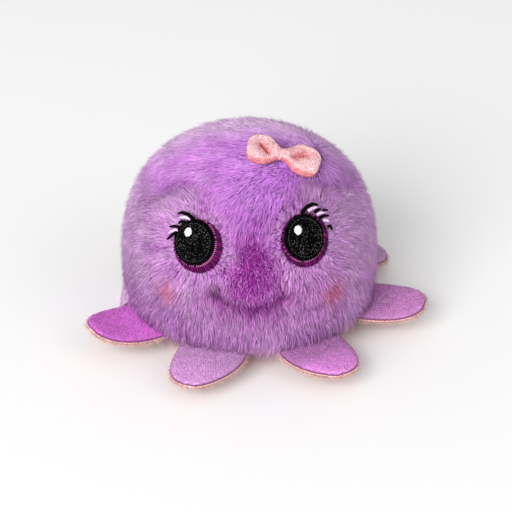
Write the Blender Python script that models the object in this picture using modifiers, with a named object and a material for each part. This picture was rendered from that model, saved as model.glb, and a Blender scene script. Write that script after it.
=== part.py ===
"""Plush octopus: a ball-shaped soft toy with a fur cover, stitched eyes, a bow and eight cloth tentacles.

The toy stands on z = 0 with its face towards -Y and its own axis on Z. Every length is in metres.
Each tentacle is two layers of cloth on an empty that lies on the fold line at its root.
"""

import math

import bmesh
import bpy
from mathutils import Matrix, Vector

# Body outline, over the pile
BODY_RADIUS = 0.0436
BODY_HEIGHT = 0.0666
WIDEST_HEIGHT = 0.0175
FOOT_RADIUS = 0.0200
CROWN_POWER = 2.58
BELLY_POWER = 2.23

# Cloth, filling and the play between touching pieces
COVER_THICKNESS = 0.0045
BASE_THICKNESS = 0.0018
SEAM_BAND_THICKNESS = 0.0024
POUCH_RADIUS = 0.0165
POUCH_HEIGHT = 0.0190
POUCH_POWER = 3.0
GAP = 0.0003
OVERRUN = 0.0040
MERGE_DISTANCE = 0.00001

# Muzzle, a soft rise in the middle of the face
FACE_SHIFT = 0.0009
MUZZLE_RISE = 0.0024
MUZZLE_HEIGHT = 0.0375
MUZZLE_HALF_WIDTH = 0.0100
MUZZLE_HALF_HEIGHT = 0.0095

# Seams of the cover: the side seams' place behind the middle, and the seam round the nose and over
# the brows, as shares of the body's radius and of the way from the muzzle's middle to the top
BACK_SEAM = 0.0080
FACE_SEAM_SHARES = (
    (0.0, -0.258),
    (0.211, -0.017),
    (0.170, 0.395),
    (0.264, 0.677),
    (0.493, 0.753),
    (0.844, 0.464),
    (1.100, 0.052),
)

# Eyes: places of their centres and the parts stacked in each
LEFT_EYE_ACROSS = -0.0166
LEFT_EYE_HEIGHT = 0.0466
RIGHT_EYE_ACROSS = 0.0181
RIGHT_EYE_HEIGHT = 0.0476
EYE_CURVE_RADIUS = 0.0420
IRIS_RADIUS = 0.0087
IRIS_THICKNESS = 0.0012
IRIS_DEPTH = 0.0009
PUPIL_HALF_WIDTH = 0.0072
PUPIL_HALF_HEIGHT = 0.0075
PUPIL_THICKNESS = 0.0009
PUPIL_RISE = 0.0011
EYE_CHAMFER_SHARE = 0.33
LEFT_PUPIL_SHIFT = -0.0010
RIGHT_PUPIL_SHIFT = -0.0006
GLINT_HALF_WIDTH = 0.0014
GLINT_HALF_HEIGHT = 0.0018
GLINT_THICKNESS = 0.0004
GLINT_RISE = 0.0031
GLINT_SHIFT = -0.0022

# Lashes: a stitched line over the outer corner of each eye, with four strokes
LASH_RADIUS = 0.0005
LASH_STROKE_RADIUS = 0.00054
LASH_LIFT = 0.0014
LASH_TIP_SHARE = 0.45
LASH_LENGTH = 0.0053
LASH_LINE_START = 88.0
LASH_LINE_END = 156.0
LASH_ANGLES = (94.0, 114.0, 132.0, 150.0)
LASH_HEADINGS = (158.0, 150.0, 174.0, 206.0)
LASH_LENGTH_SHARES = (1.0, 0.5, 0.6, 0.65)

# Mouth thread
MOUTH_HALF_WIDTH = 0.0124
MOUTH_LOW = 0.0272
MOUTH_RISE = 0.0050
MOUTH_THREAD_RADIUS = 0.0006
MOUTH_POINTS = 15

# Bow, a folded strip pinched by one stitch
BOW_ACROSS = 0.0112
BOW_BACK = -0.0145
BOW_HALF_LENGTH = 0.0117
BOW_TURN = -2.0
BOW_TILT = 36.0
BOW_LOBE_HALF_HEIGHT = 0.0050
BOW_LOBE_HALF_THICKNESS = 0.0024
BOW_PINCH_HALF_HEIGHT = 0.0021
BOW_PINCH_HALF_THICKNESS = 0.0014
BOW_CREASE_DEPTH = 0.0013
BOW_CREASE_SHARE = 0.45
BOW_LOBE_SHARE = 0.55
BOW_END_SHARE = 0.985
BOW_CLEARANCE = 0.00045
BOW_STITCH_RADIUS = 0.00035

# Tentacles: two layers each, folding on a line in the seam over the base
ROOT_HEIGHT = 0.0075
ROOT_STEP = 0.0012
RIM_CLEARANCE = 0.0014
TENTACLE_LENGTH = 0.0207
TENTACLE_HALF_WIDTH = 0.0113
TENTACLE_TAPER_POWER = 2.6
TENTACLE_ROUND_POWER = 2.2
TOP_LAYER_THICKNESS = 0.0013
UNDER_LAYER_THICKNESS = 0.0016
LAYER_EDGE_POWER = 5.0
ROOT_WRAP_ANGLE = 80.0
TIP_SHARE = 0.992
TIP_THIN_SHARE = 0.5

# Azimuth from the face, first and last slope in degrees, and shares of the length
TENTACLE_SHARES = (
    (-58.0, 3.0, 18.0, 0.0, 1.0, 1.0),
    (-16.5, -6.0, 4.0, 0.0, 1.0, 1.0),
    (29.0, -4.0, 7.0, 0.0, 1.0, 1.0),
    (77.0, 2.0, 12.0, 0.0, 1.0, 1.0),
    (123.0, -4.0, -13.0, 0.0, 1.0, 0.82),
    (169.0, -6.0, 2.0, 0.0, 1.0, 1.0),
    (-143.0, -8.0, 0.0, 0.0, 1.0, 1.0),
    (-91.0, -24.0, -176.0, 0.05, 0.57, 0.66),
)

# Facets
SHARP_ANGLE = 40.0
BODY_STEPS = 48
FILLING_STEPS = 24
EYE_STEPS = 24
CROWN_ROWS = 13
BELLY_ROWS = 6
EYE_ROWS = 3
TUBE_RESOLUTION = 1
TENTACLE_STATIONS = 8
ROOT_STATIONS = 3
PATH_STEPS = 60
LAYER_POINTS = 9
BOW_STATIONS = 21
BOW_SECTION_POINTS = 14
BOW_STITCH_POINTS = 16
SEAM_LINE_POINTS = 6
LASH_LINE_STEPS = 8
LASH_STROKE_STEPS = 3
HALVINGS = 50

# Materials: colour and roughness
MATERIALS = {
    "fur": ((0.52, 0.20, 0.66, 1.0), 0.9),
    "base_cloth": ((0.93, 0.47, 0.38, 1.0), 0.9),
    "top_cloth": ((0.60, 0.27, 0.66, 1.0), 0.85),
    "iris_thread": ((0.11, 0.0, 0.14, 1.0), 0.5),
    "black_thread": ((0.01, 0.01, 0.01, 1.0), 0.6),
    "white_thread": ((0.85, 0.85, 0.85, 1.0), 0.6),
    "mouth_thread": ((0.22, 0.04, 0.30, 1.0), 0.8),
    "bow_cloth": ((0.95, 0.45, 0.38, 1.0), 0.85),
    "bow_thread": ((0.95, 0.45, 0.38, 1.0), 0.7),
    "filling": ((0.86, 0.86, 0.84, 1.0), 1.0),
    "pouch_cloth": ((0.75, 0.75, 0.72, 1.0), 0.9),
}

FLAP_UP = GAP / 2 + TOP_LAYER_THICKNESS
FLAP_DOWN = GAP / 2 + UNDER_LAYER_THICKNESS
COVER_RIM = ROOT_HEIGHT + FLAP_UP + RIM_CLEARANCE
BASE_RIM = ROOT_HEIGHT - FLAP_DOWN - GAP


def outline_radius(height):
    """Outer radius of the body at a height."""
    if height >= WIDEST_HEIGHT:
        share = (height - WIDEST_HEIGHT) / (BODY_HEIGHT - WIDEST_HEIGHT)
        return BODY_RADIUS * (1 - share**CROWN_POWER) ** (1 / CROWN_POWER)
    share = (WIDEST_HEIGHT - height) / WIDEST_HEIGHT
    reach = (1 - share**BELLY_POWER) ** (1 / BELLY_POWER)
    return FOOT_RADIUS + (BODY_RADIUS - FOOT_RADIUS) * reach


def crown_height(radius):
    """Height of the upper body at a distance from its axis."""
    share = radius / BODY_RADIUS
    reach = (1 - share**CROWN_POWER) ** (1 / CROWN_POWER)
    return WIDEST_HEIGHT + (BODY_HEIGHT - WIDEST_HEIGHT) * reach


def outline_normal(radius, height):
    """Outward normal of the body outline, as radial and upward parts."""
    if height >= WIDEST_HEIGHT:
        rise = BODY_HEIGHT - WIDEST_HEIGHT
        outward = (radius / BODY_RADIUS) ** (CROWN_POWER - 1) / BODY_RADIUS
        upward = ((height - WIDEST_HEIGHT) / rise) ** (CROWN_POWER - 1) / rise
    else:
        reach = BODY_RADIUS - FOOT_RADIUS
        share = max(0.0, (radius - FOOT_RADIUS) / reach)
        outward = share ** (BELLY_POWER - 1) / reach
        upward = -(((WIDEST_HEIGHT - height) / WIDEST_HEIGHT) ** (BELLY_POWER - 1)) / WIDEST_HEIGHT
    length = math.hypot(outward, upward)
    return outward / length, upward / length


def profile_point(turn, inset):
    """Point of the outline drawn in by an inset: turn 0 is the top, 1 the widest, 2 the foot's edge."""
    if turn <= 1:
        angle = turn * math.pi / 2
        radius = BODY_RADIUS * math.sin(angle) ** (2 / CROWN_POWER)
        reach = max(0.0, math.cos(angle)) ** (2 / CROWN_POWER)
        height = WIDEST_HEIGHT + (BODY_HEIGHT - WIDEST_HEIGHT) * reach
    else:
        angle = (turn - 1) * math.pi / 2
        reach = max(0.0, math.cos(angle)) ** (2 / BELLY_POWER)
        radius = FOOT_RADIUS + (BODY_RADIUS - FOOT_RADIUS) * reach
        height = WIDEST_HEIGHT * (1 - math.sin(angle) ** (2 / BELLY_POWER))
    outward, upward = outline_normal(radius, height)
    return radius - inset * outward, height - inset * upward


def turn_at(height, inset):
    """Turn at which the outline drawn in by an inset passes a height."""
    high, low = 0.0, 2.0
    for _ in range(HALVINGS):
        middle = (high + low) / 2
        if profile_point(middle, inset)[1] > height:
            high = middle
        else:
            low = middle
    return (high + low) / 2


def profile_run(first, last, inset, rows):
    """Evenly turned points of the outline drawn in by an inset."""
    return [profile_point(first + (last - first) * row / rows, inset) for row in range(rows + 1)]


def muzzle_lift(across, height):
    """How far the face stands forward of the turned body."""
    sideways = (across - FACE_SHIFT) / MUZZLE_HALF_WIDTH
    upward = (height - MUZZLE_HEIGHT) / MUZZLE_HALF_HEIGHT
    return MUZZLE_RISE * math.exp(-(sideways**2) - upward**2)


def face_point(across, height, lift=0.0):
    """Point on the front of the body, raised off it by a lift, with the outward normal there."""
    radius = outline_radius(height)
    depth = math.sqrt(radius**2 - across**2)
    outward, upward = outline_normal(radius, height)
    normal = Vector((outward * across / radius, -outward * depth / radius, upward))
    point = Vector((across, -depth - muzzle_lift(across, height), height))
    return point + normal * lift, normal


def crown_point(across, back):
    """Point on the top of the body with the outward normal there."""
    radius = math.hypot(across, back)
    height = crown_height(radius)
    outward, upward = outline_normal(radius, height)
    normal = Vector((outward * across / radius, outward * back / radius, upward))
    return Vector((across, back, height)), normal


def face_frame(across, height):
    """Frame on the face: X to the viewer's right, Y up along the face, Z out of it."""
    point, normal = face_point(across, height)
    right = Vector((-point.y, point.x, 0.0)).normalized()
    upward = normal.cross(right)
    frame = Matrix((right, upward, normal)).transposed().to_4x4()
    frame.translation = point
    return frame


def clear_scene():
    """Remove every object of the open scene."""
    for item in list(bpy.data.objects):
        bpy.data.objects.remove(item, do_unlink=True)


def new_collection(name):
    """Collection of this name linked to the scene."""
    made = bpy.data.collections.new(name)
    bpy.context.scene.collection.children.link(made)
    return made


def new_material(name, colour, roughness):
    """Principled material of one colour."""
    made = bpy.data.materials.new(name)
    made.use_nodes = True
    shader = made.node_tree.nodes["Principled BSDF"]
    shader.inputs["Base Color"].default_value = colour
    shader.inputs["Roughness"].default_value = roughness
    shader.inputs["Metallic"].default_value = 0.0
    made.diffuse_color = colour
    return made


def add_object(name, mesh, collection, material=None):
    """Smooth-shaded object in a collection."""
    made = bpy.data.objects.new(name, mesh)
    collection.objects.link(made)
    if material:
        mesh.materials.append(material)
    mesh.shade_smooth()
    mesh.set_sharp_from_angle(angle=math.radians(SHARP_ANGLE))
    return made


def add_turned(name, profile, closed, steps, collection, material=None):
    """Body turned about Z from a profile of radius and height, which runs down its outer side."""
    mesh = bpy.data.meshes.new(name)
    edges = [(index, index + 1) for index in range(len(profile) - 1)]
    if closed:
        edges.append((len(profile) - 1, 0))
    mesh.from_pydata([(radius, 0.0, height) for radius, height in profile], edges, [])
    made = add_object(name, mesh, collection, material)
    screw = made.modifiers.new("Turn", "SCREW")
    screw.steps = steps
    screw.render_steps = steps
    screw.use_merge_vertices = True
    screw.merge_threshold = MERGE_DISTANCE
    screw.use_smooth_shade = True
    return made


def realised(item):
    """The same object with its modifiers turned into plain mesh of flat faces."""
    bpy.context.view_layer.update()
    graph = bpy.context.evaluated_depsgraph_get()
    mesh = bpy.data.meshes.new_from_object(item.evaluated_get(graph), depsgraph=graph)
    item.modifiers.clear()
    item.data = flattened(mesh)
    return item


def flattened(mesh):
    """The same mesh in triangles, without edges too short to matter."""
    form = bmesh.new()
    form.from_mesh(mesh)
    bmesh.ops.remove_doubles(form, verts=form.verts, dist=MERGE_DISTANCE)
    bmesh.ops.triangulate(form, faces=form.faces)
    bmesh.ops.dissolve_degenerate(form, edges=form.edges, dist=MERGE_DISTANCE)
    form.to_mesh(mesh)
    form.free()
    return mesh


def mark_cutter(item):
    """Keep a cutter or guide out of the finished model."""
    item.hide_render = True
    item.display_type = "WIRE"
    return item


def cut(item, cutter, operation="DIFFERENCE"):
    """Boolean of an object with a cutter."""
    step = item.modifiers.new(operation.title(), "BOOLEAN")
    step.operation = operation
    step.solver = "EXACT"
    step.object = cutter


def raise_muzzle(mesh):
    """Push the front of a body forward where the muzzle is."""
    for vertex in mesh.vertices:
        if vertex.co.y < 0:
            vertex.co.y -= muzzle_lift(vertex.co.x, vertex.co.z)


def add_loft(name, rings, collection, material=None):
    """Closed body through rings of equal point count, capped at both ends."""
    form = bmesh.new()
    rows = [[form.verts.new(point) for point in ring] for ring in rings]
    count = len(rings[0])
    for one, other in zip(rows, rows[1:]):
        for index in range(count):
            after = (index + 1) % count
            form.faces.new((one[index], one[after], other[after], other[index]))
    form.faces.new(rows[0])
    form.faces.new(rows[-1])
    bmesh.ops.recalc_face_normals(form, faces=form.faces)
    mesh = bpy.data.meshes.new(name)
    form.to_mesh(mesh)
    form.free()
    return add_object(name, mesh, collection, material)


def add_tube(name, points, radius, shares, collection, material=None, cyclic=False):
    """Round thread along points, each with its share of the radius, as a mesh."""
    curve = bpy.data.curves.new(name, "CURVE")
    curve.dimensions = "3D"
    curve.bevel_depth = radius
    curve.bevel_resolution = TUBE_RESOLUTION
    curve.use_fill_caps = not cyclic
    spline = curve.splines.new("POLY")
    spline.points.add(len(points) - 1)
    for place, point, share in zip(spline.points, points, shares):
        place.co = (*point, 1.0)
        place.radius = share
    spline.use_cyclic_u = cyclic
    guide = bpy.data.objects.new(name + "_line", curve)
    collection.objects.link(guide)
    bpy.context.view_layer.update()
    graph = bpy.context.evaluated_depsgraph_get()
    mesh = flattened(bpy.data.meshes.new_from_object(guide.evaluated_get(graph), depsgraph=graph))
    bpy.data.objects.remove(guide, do_unlink=True)
    form = bmesh.new()
    form.from_mesh(mesh)
    bmesh.ops.recalc_face_normals(form, faces=form.faces)
    form.to_mesh(mesh)
    form.free()
    return add_object(name, mesh, collection, material)


def add_prism(name, outline, front, back, collection):
    """Cutter with an outline of places across and up, from a front to a back."""
    form = bmesh.new()
    face = form.faces.new([form.verts.new((across, front, height)) for across, height in outline])
    sides = bmesh.ops.extrude_face_region(form, geom=[face])["geom"]
    far = [item for item in sides if isinstance(item, bmesh.types.BMVert)]
    bmesh.ops.translate(form, verts=far, vec=(0.0, back - front, 0.0))
    bmesh.ops.recalc_face_normals(form, faces=form.faces)
    mesh = bpy.data.meshes.new(name)
    form.to_mesh(mesh)
    form.free()
    return mark_cutter(add_object(name, mesh, collection))


def smooth_value(before, start, end, after, t):
    """Catmull-Rom value between a start and an end."""
    bend = 2 * before - 5 * start + 4 * end - after
    twist = 3 * start - before - 3 * end + after
    return (2 * start + (end - before) * t + bend * t**2 + twist * t**3) / 2


def smooth_line(points, steps):
    """Smooth line through points in a plane."""
    line = []
    padded = [points[0], *points, points[-1]]
    for around in zip(padded, padded[1:], padded[2:], padded[3:]):
        for step in range(steps):
            line.append(tuple(smooth_value(*values, step / steps) for values in zip(*around)))
    line.append(points[-1])
    return line


def face_height(share):
    """Height at a share of the way from the muzzle's middle to the top of the body."""
    return MUZZLE_HEIGHT + (BODY_HEIGHT - MUZZLE_HEIGHT) * share


def seam_half(clearance):
    """Right half of the seam between crown and cheeks, moved up by a clearance square to it."""
    half = [(BODY_RADIUS * across, face_height(rise)) for across, rise in FACE_SEAM_SHARES]
    line = smooth_line(half, SEAM_LINE_POINTS)
    moved = []
    for before, point, after in zip([line[0], *line], line, [*line[1:], line[-1]]):
        run, rise = after[0] - before[0], after[1] - before[1]
        length = math.hypot(run, rise)
        moved.append((point[0] - clearance * rise / length, point[1] + clearance * run / length))
    return [(0.0, moved[0][1]), *moved[1:]]


def panel_regions():
    """Outline, front and back of the region that each panel is cut from."""
    half = GAP / 2
    reach = BODY_RADIUS + MUZZLE_RISE + OVERRUN
    top = BODY_HEIGHT + OVERRUN
    over = seam_half(half)
    under = seam_half(-half)
    crown = [(-across, height) for across, height in reversed(over[1:])] + over
    crown += [(over[-1][0], top), (-over[-1][0], top)]
    cheek = [(half, under[0][1]), *under[1:], (under[-1][0], -OVERRUN), (half, -OVERRUN)]
    back = [(half, -OVERRUN), (reach, -OVERRUN), (reach, top), (half, top)]

    def shifted(outline, side):
        return [(FACE_SHIFT + side * across, height) for across, height in outline]

    def mirrored(outline):
        return [(-across, height) for across, height in outline]

    return {
        "crown_panel": (shifted(crown, 1), -reach, BACK_SEAM - half),
        "left_cheek_panel": (shifted(cheek, -1), -reach, BACK_SEAM - half),
        "right_cheek_panel": (shifted(cheek, 1), -reach, BACK_SEAM - half),
        "left_back_panel": (mirrored(back), BACK_SEAM + half, reach),
        "right_back_panel": (back, BACK_SEAM + half, reach),
    }


def add_cover(parts, cutters, fur):
    """Fur cover: one turned shell, from which each panel is cut along its seams."""
    outer = profile_run(0.0, turn_at(COVER_RIM, 0.0), 0.0, CROWN_ROWS)
    inner = profile_run(turn_at(COVER_RIM, COVER_THICKNESS), 0.0, COVER_THICKNESS, CROWN_ROWS)
    shell = realised(add_turned("cover", outer + inner, False, BODY_STEPS, parts, fur))
    raise_muzzle(shell.data)
    panels = {}
    for name, region in panel_regions().items():
        panel = add_object(name, shell.data.copy(), parts)
        cut(panel, add_prism(name + "_region", *region, cutters), "INTERSECT")
        panels[name] = realised(panel)
    bpy.data.objects.remove(shell, do_unlink=True)
    return panels


def add_base(parts, cloth):
    """Base panel: a shallow dish of short-pile cloth with a flat foot."""
    outer = profile_run(turn_at(BASE_RIM, 0.0), 2.0, 0.0, BELLY_ROWS)
    inner = profile_run(2.0, turn_at(BASE_RIM, BASE_THICKNESS), BASE_THICKNESS, BELLY_ROWS)
    profile = [(0.0, BASE_THICKNESS), *inner, *outer, (0.0, 0.0)]
    return add_turned("base_panel", profile, False, BODY_STEPS, parts, cloth)


def band_radii():
    """Inner and outer radius of the sewn seam behind the tentacle roots."""
    outer = outline_radius(ROOT_HEIGHT) + ROOT_STEP - max(FLAP_UP, FLAP_DOWN) - GAP
    return outer - SEAM_BAND_THICKNESS, outer


def add_seam_band(parts, cloth):
    """Sewn seam allowance that joins cover and base and carries the tentacle roots."""
    inner, outer = band_radii()
    high = COVER_RIM - GAP
    low = BASE_RIM + GAP
    corner = GAP
    profile = [
        (outer - corner, high),
        (outer, high - corner),
        (outer, low + corner),
        (outer - corner, low),
        (inner, low),
        (inner, high),
    ]
    return add_turned("seam_band", profile, True, BODY_STEPS, parts, cloth)


def add_filling(parts, filling, pouch_cloth):
    """Stuffing with a pocket open at the bottom, and the pouch of pellets that lies in it."""
    limit = band_radii()[0] - GAP
    cover_inset = COVER_THICKNESS + GAP
    base_inset = BASE_THICKNESS + GAP
    pocket_radius = POUCH_RADIUS + GAP
    pocket_top = base_inset + POUCH_HEIGHT + GAP
    upper = profile_run(0.0, turn_at(COVER_RIM, COVER_THICKNESS), cover_inset, CROWN_ROWS)
    lower = profile_run(turn_at(BASE_RIM, BASE_THICKNESS), 2.0, base_inset, BELLY_ROWS)
    side = [(min(radius, limit), height) for radius, height in [(limit, COVER_RIM - GAP), *lower]]
    pocket = [(pocket_radius, base_inset), (pocket_radius, pocket_top), (0.0, pocket_top)]
    stuffing = realised(add_turned("stuffing", upper + side + pocket, False, FILLING_STEPS, parts, filling))
    raise_muzzle(stuffing.data)
    half = POUCH_HEIGHT / 2
    rim = []
    for row in range(BELLY_ROWS * 2 + 1):
        angle = math.pi * row / (BELLY_ROWS * 2)
        radius = POUCH_RADIUS * math.sin(angle) ** (2 / POUCH_POWER) if 0 < row < BELLY_ROWS * 2 else 0.0
        lean = math.cos(angle)
        height = base_inset + half + math.copysign(half * abs(lean) ** (2 / POUCH_POWER), lean)
        rim.append((radius, height))
    pouch = add_turned("pellet_pouch", rim, False, FILLING_STEPS, parts, pouch_cloth)
    return stuffing, pouch


def lens_profile(radius, low, high):
    """Profile of a disc that curves with the face, between two heights at its middle."""

    def sag(distance):
        return EYE_CURVE_RADIUS - math.sqrt(EYE_CURVE_RADIUS**2 - distance**2)

    chamfer = min(high - low, GLINT_THICKNESS) * EYE_CHAMFER_SHARE
    top = [(radius - chamfer) * row / EYE_ROWS for row in range(EYE_ROWS + 1)]
    over = [(distance, high - sag(distance)) for distance in top]
    rim = [(radius, high - chamfer - sag(radius)), (radius, low + chamfer - sag(radius))]
    under = [(distance, low - sag(distance)) for distance in reversed(top)]
    return over + rim + under


def add_disc(name, frame, size, span, collection, material=None):
    """Oval disc of the eye: half width and half height, and its two depths in the frame."""
    half_width, half_height = size
    made = add_turned(name, lens_profile(half_width, *span), False, EYE_STEPS, collection, material)
    made.matrix_world = frame @ Matrix.Diagonal((1.0, half_height / half_width, 1.0, 1.0))
    return made


def add_eye(side, across, height, pupil_shift, panels, parts, cutters, materials):
    """One eye: purple patch in a pocket of the cover, black pupil, white glint and lashes."""
    frame = face_frame(across, height)
    iris_top = -IRIS_DEPTH
    iris_low = iris_top - IRIS_THICKNESS
    pocket_radius = IRIS_RADIUS + GAP
    pocket_span = (iris_low - GAP, OVERRUN)
    pocket = add_disc(side + "_eye_pocket", frame, (pocket_radius, pocket_radius), pocket_span, cutters)
    for panel in panels:
        cut(panel, mark_cutter(pocket))
    black = materials["black_thread"]
    iris_size = (IRIS_RADIUS, IRIS_RADIUS)
    add_disc(side + "_iris", frame, iris_size, (iris_low, iris_top), parts, materials["iris_thread"])
    pupil_low = iris_top + GAP
    pupil_top = pupil_low + PUPIL_THICKNESS
    pupil_frame = frame @ Matrix.Translation((pupil_shift, PUPIL_RISE, eye_drop(pupil_shift, PUPIL_RISE)))
    pupil_size = (PUPIL_HALF_WIDTH, PUPIL_HALF_HEIGHT)
    add_disc(side + "_pupil", pupil_frame, pupil_size, (pupil_low, pupil_top), parts, black)
    glint_low = pupil_top + GAP
    glint_place = Matrix.Translation((GLINT_SHIFT, GLINT_RISE, eye_drop(GLINT_SHIFT, GLINT_RISE)))
    glint_size = (GLINT_HALF_WIDTH, GLINT_HALF_HEIGHT)
    glint_span = (glint_low, glint_low + GLINT_THICKNESS)
    glint_frame = pupil_frame @ glint_place
    add_disc(side + "_glint", glint_frame, glint_size, glint_span, parts, materials["white_thread"])
    add_lashes(side, across, height, parts, cutters, black)


def eye_drop(across, rise):
    """Drop of the curved eye this far from its middle, with room for two unlike curves to clear."""
    distance = math.hypot(across, rise)
    return math.sqrt(EYE_CURVE_RADIUS**2 - distance**2) - EYE_CURVE_RADIUS + GAP


def around_eye(across, height, angle, distance, heading=0.0, reach=0.0):
    """Place on the face at an angle and distance from an eye's middle, moved on along a heading."""
    tilt = math.radians(angle)
    lean = math.radians(heading)
    sideways = distance * math.cos(tilt) + reach * math.cos(lean)
    upward = distance * math.sin(tilt) + reach * math.sin(lean)
    place = face_frame(across, height) @ Vector((sideways, upward, 0.0))
    point, normal = face_point(place.x, place.z)
    return point + normal * LASH_LIFT


def add_lashes(side, across, height, parts, cutters, black):
    """Lash line with four strokes fused to it; the right eye's are the mirror of the left's."""

    def turned(angle):
        return angle if side == "left" else 180 - angle

    root = IRIS_RADIUS - LASH_RADIUS
    step_angle = (LASH_LINE_END - LASH_LINE_START) / LASH_LINE_STEPS
    angles = [turned(LASH_LINE_START + step_angle * step) for step in range(LASH_LINE_STEPS + 1)]
    line = [around_eye(across, height, angle, root) for angle in angles]
    lashes = add_tube(side + "_lashes", line, LASH_RADIUS, [1.0] * len(line), parts, black)
    strokes = zip(LASH_ANGLES, LASH_HEADINGS, LASH_LENGTH_SHARES)
    way = [step / LASH_STROKE_STEPS for step in range(LASH_STROKE_STEPS + 1)]
    for number, (angle, heading, share) in enumerate(strokes, 1):
        stroke = []
        for part in way:
            reach = LASH_LENGTH * share * part
            stroke.append(around_eye(across, height, turned(angle), root, turned(heading), reach))
        shares = [1 - (1 - LASH_TIP_SHARE) * part**2 for part in way]
        stitch = add_tube(f"{side}_lash_{number}", stroke, LASH_STROKE_RADIUS, shares, cutters)
        cut(lashes, mark_cutter(stitch), "UNION")
    return lashes


def mouth_line():
    """Points of the smile on the face, from corner to corner."""
    line = []
    for step in range(MOUTH_POINTS):
        share = 2 * step / (MOUTH_POINTS - 1) - 1
        point, _ = face_point(FACE_SHIFT + MOUTH_HALF_WIDTH * share, MOUTH_LOW + MOUTH_RISE * share**2)
        line.append(point)
    return line


def add_mouth(panels, parts, cutters, thread):
    """Mouth thread in the groove that it presses into the cover."""
    line = mouth_line()
    shares = [1.0] * MOUTH_POINTS
    groove = add_tube("mouth_groove", line, MOUTH_THREAD_RADIUS + GAP, shares, cutters)
    for panel in panels:
        cut(panel, mark_cutter(groove))
    inner = line[1:-1]
    return add_tube("mouth_thread", inner, MOUTH_THREAD_RADIUS, [1.0] * len(inner), parts, thread)


def bow_lobe(share):
    """How far a lobe has opened at a share of the bow's half length, and how its end rounds off."""
    distance = abs(share)
    opening = min(1.0, distance / BOW_LOBE_SHARE)
    opening = opening * opening * (3 - 2 * opening)
    beyond = max(0.0, distance - BOW_LOBE_SHARE) / (1 - BOW_LOBE_SHARE)
    return opening, (1 - beyond**3) ** (1 / 3)


def bow_section(share):
    """Middle of the bow's section, its two axes and its half sizes."""
    turn = math.radians(BOW_TURN)
    reach = BOW_HALF_LENGTH * share
    base, normal = crown_point(BOW_ACROSS + reach * math.cos(turn), BOW_BACK + reach * math.sin(turn))
    along = Vector((math.cos(turn), math.sin(turn), 0.0))
    along = (along - normal * along.dot(normal)).normalized()
    tilt = math.radians(BOW_TILT)
    upward = normal.cross(along) * math.cos(tilt) + normal * math.sin(tilt)
    outward = along.cross(upward)
    opening, ending = bow_lobe(share)
    full_height = BOW_PINCH_HALF_HEIGHT + (BOW_LOBE_HALF_HEIGHT - BOW_PINCH_HALF_HEIGHT) * opening
    full_depth = BOW_PINCH_HALF_THICKNESS + (BOW_LOBE_HALF_THICKNESS - BOW_PINCH_HALF_THICKNESS) * opening
    half_height = full_height * ending
    half_thickness = full_depth * ending
    extent = math.hypot(full_height * math.sin(tilt), full_depth * math.cos(tilt))
    stitch_room = (2 * BOW_STITCH_RADIUS + GAP) * (1 - opening)
    middle = base + normal * (extent + BOW_CLEARANCE + stitch_room)
    return middle, upward, outward, half_height, half_thickness, opening


def add_bow(parts, cloth, thread):
    """Bow: one folded strip with two puffed lobes, and the stitch round its pinch."""
    rings = []
    for station in range(BOW_STATIONS):
        share = BOW_END_SHARE * math.sin(math.pi * (station / (BOW_STATIONS - 1) - 0.5))
        middle, upward, outward, half_height, half_thickness, opening = bow_section(share)
        fold_depth = BOW_CREASE_DEPTH * opening * half_height / BOW_LOBE_HALF_HEIGHT
        ring = []
        for index in range(BOW_SECTION_POINTS):
            angle = 2 * math.pi * index / BOW_SECTION_POINTS
            crease = math.exp(-((math.cos(angle) / BOW_CREASE_SHARE) ** 2)) if math.sin(angle) > 0 else 0.0
            depth = half_thickness * math.sin(angle) - fold_depth * crease
            ring.append(middle + upward * (half_height * math.cos(angle)) + outward * depth)
        rings.append(ring)
    bow = add_loft("bow", rings, parts, cloth)
    middle, upward, outward, half_height, half_thickness, _ = bow_section(0.0)
    loop = []
    room = GAP + BOW_STITCH_RADIUS
    for step in range(BOW_STITCH_POINTS):
        angle = 2 * math.pi * step / BOW_STITCH_POINTS
        rise = (half_height + room) * math.cos(angle)
        loop.append(middle + upward * rise + outward * ((half_thickness + room) * math.sin(angle)))
    shares = [1.0] * BOW_STITCH_POINTS
    stitch = add_tube("bow_stitch", loop, BOW_STITCH_RADIUS, shares, parts, thread, cyclic=True)
    return bow, stitch


def tentacle_path(length, first, last, bend_from, bend_to):
    """Function of distance along a tentacle: its reach, its height and its slope."""
    table = [(0.0, 0.0, math.radians(first))]
    reach = rise = 0.0
    for step in range(PATH_STEPS):
        share = (step + 0.5) / PATH_STEPS
        bend = min(1.0, max(0.0, (share - bend_from) / (bend_to - bend_from)))
        slope = math.radians(first + (last - first) * bend)
        reach += length / PATH_STEPS * math.cos(slope)
        rise += length / PATH_STEPS * math.sin(slope)
        table.append((reach, rise, slope))

    def place(distance):
        if distance <= 0:
            slope = table[0][2]
            return distance * math.cos(slope), distance * math.sin(slope), slope
        share = min(distance / length, 1.0) * PATH_STEPS
        index = min(int(share), PATH_STEPS - 1)
        part = share - index
        one, other = table[index], table[index + 1]
        return tuple(a + (b - a) * part for a, b in zip(one, other))

    return place


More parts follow.
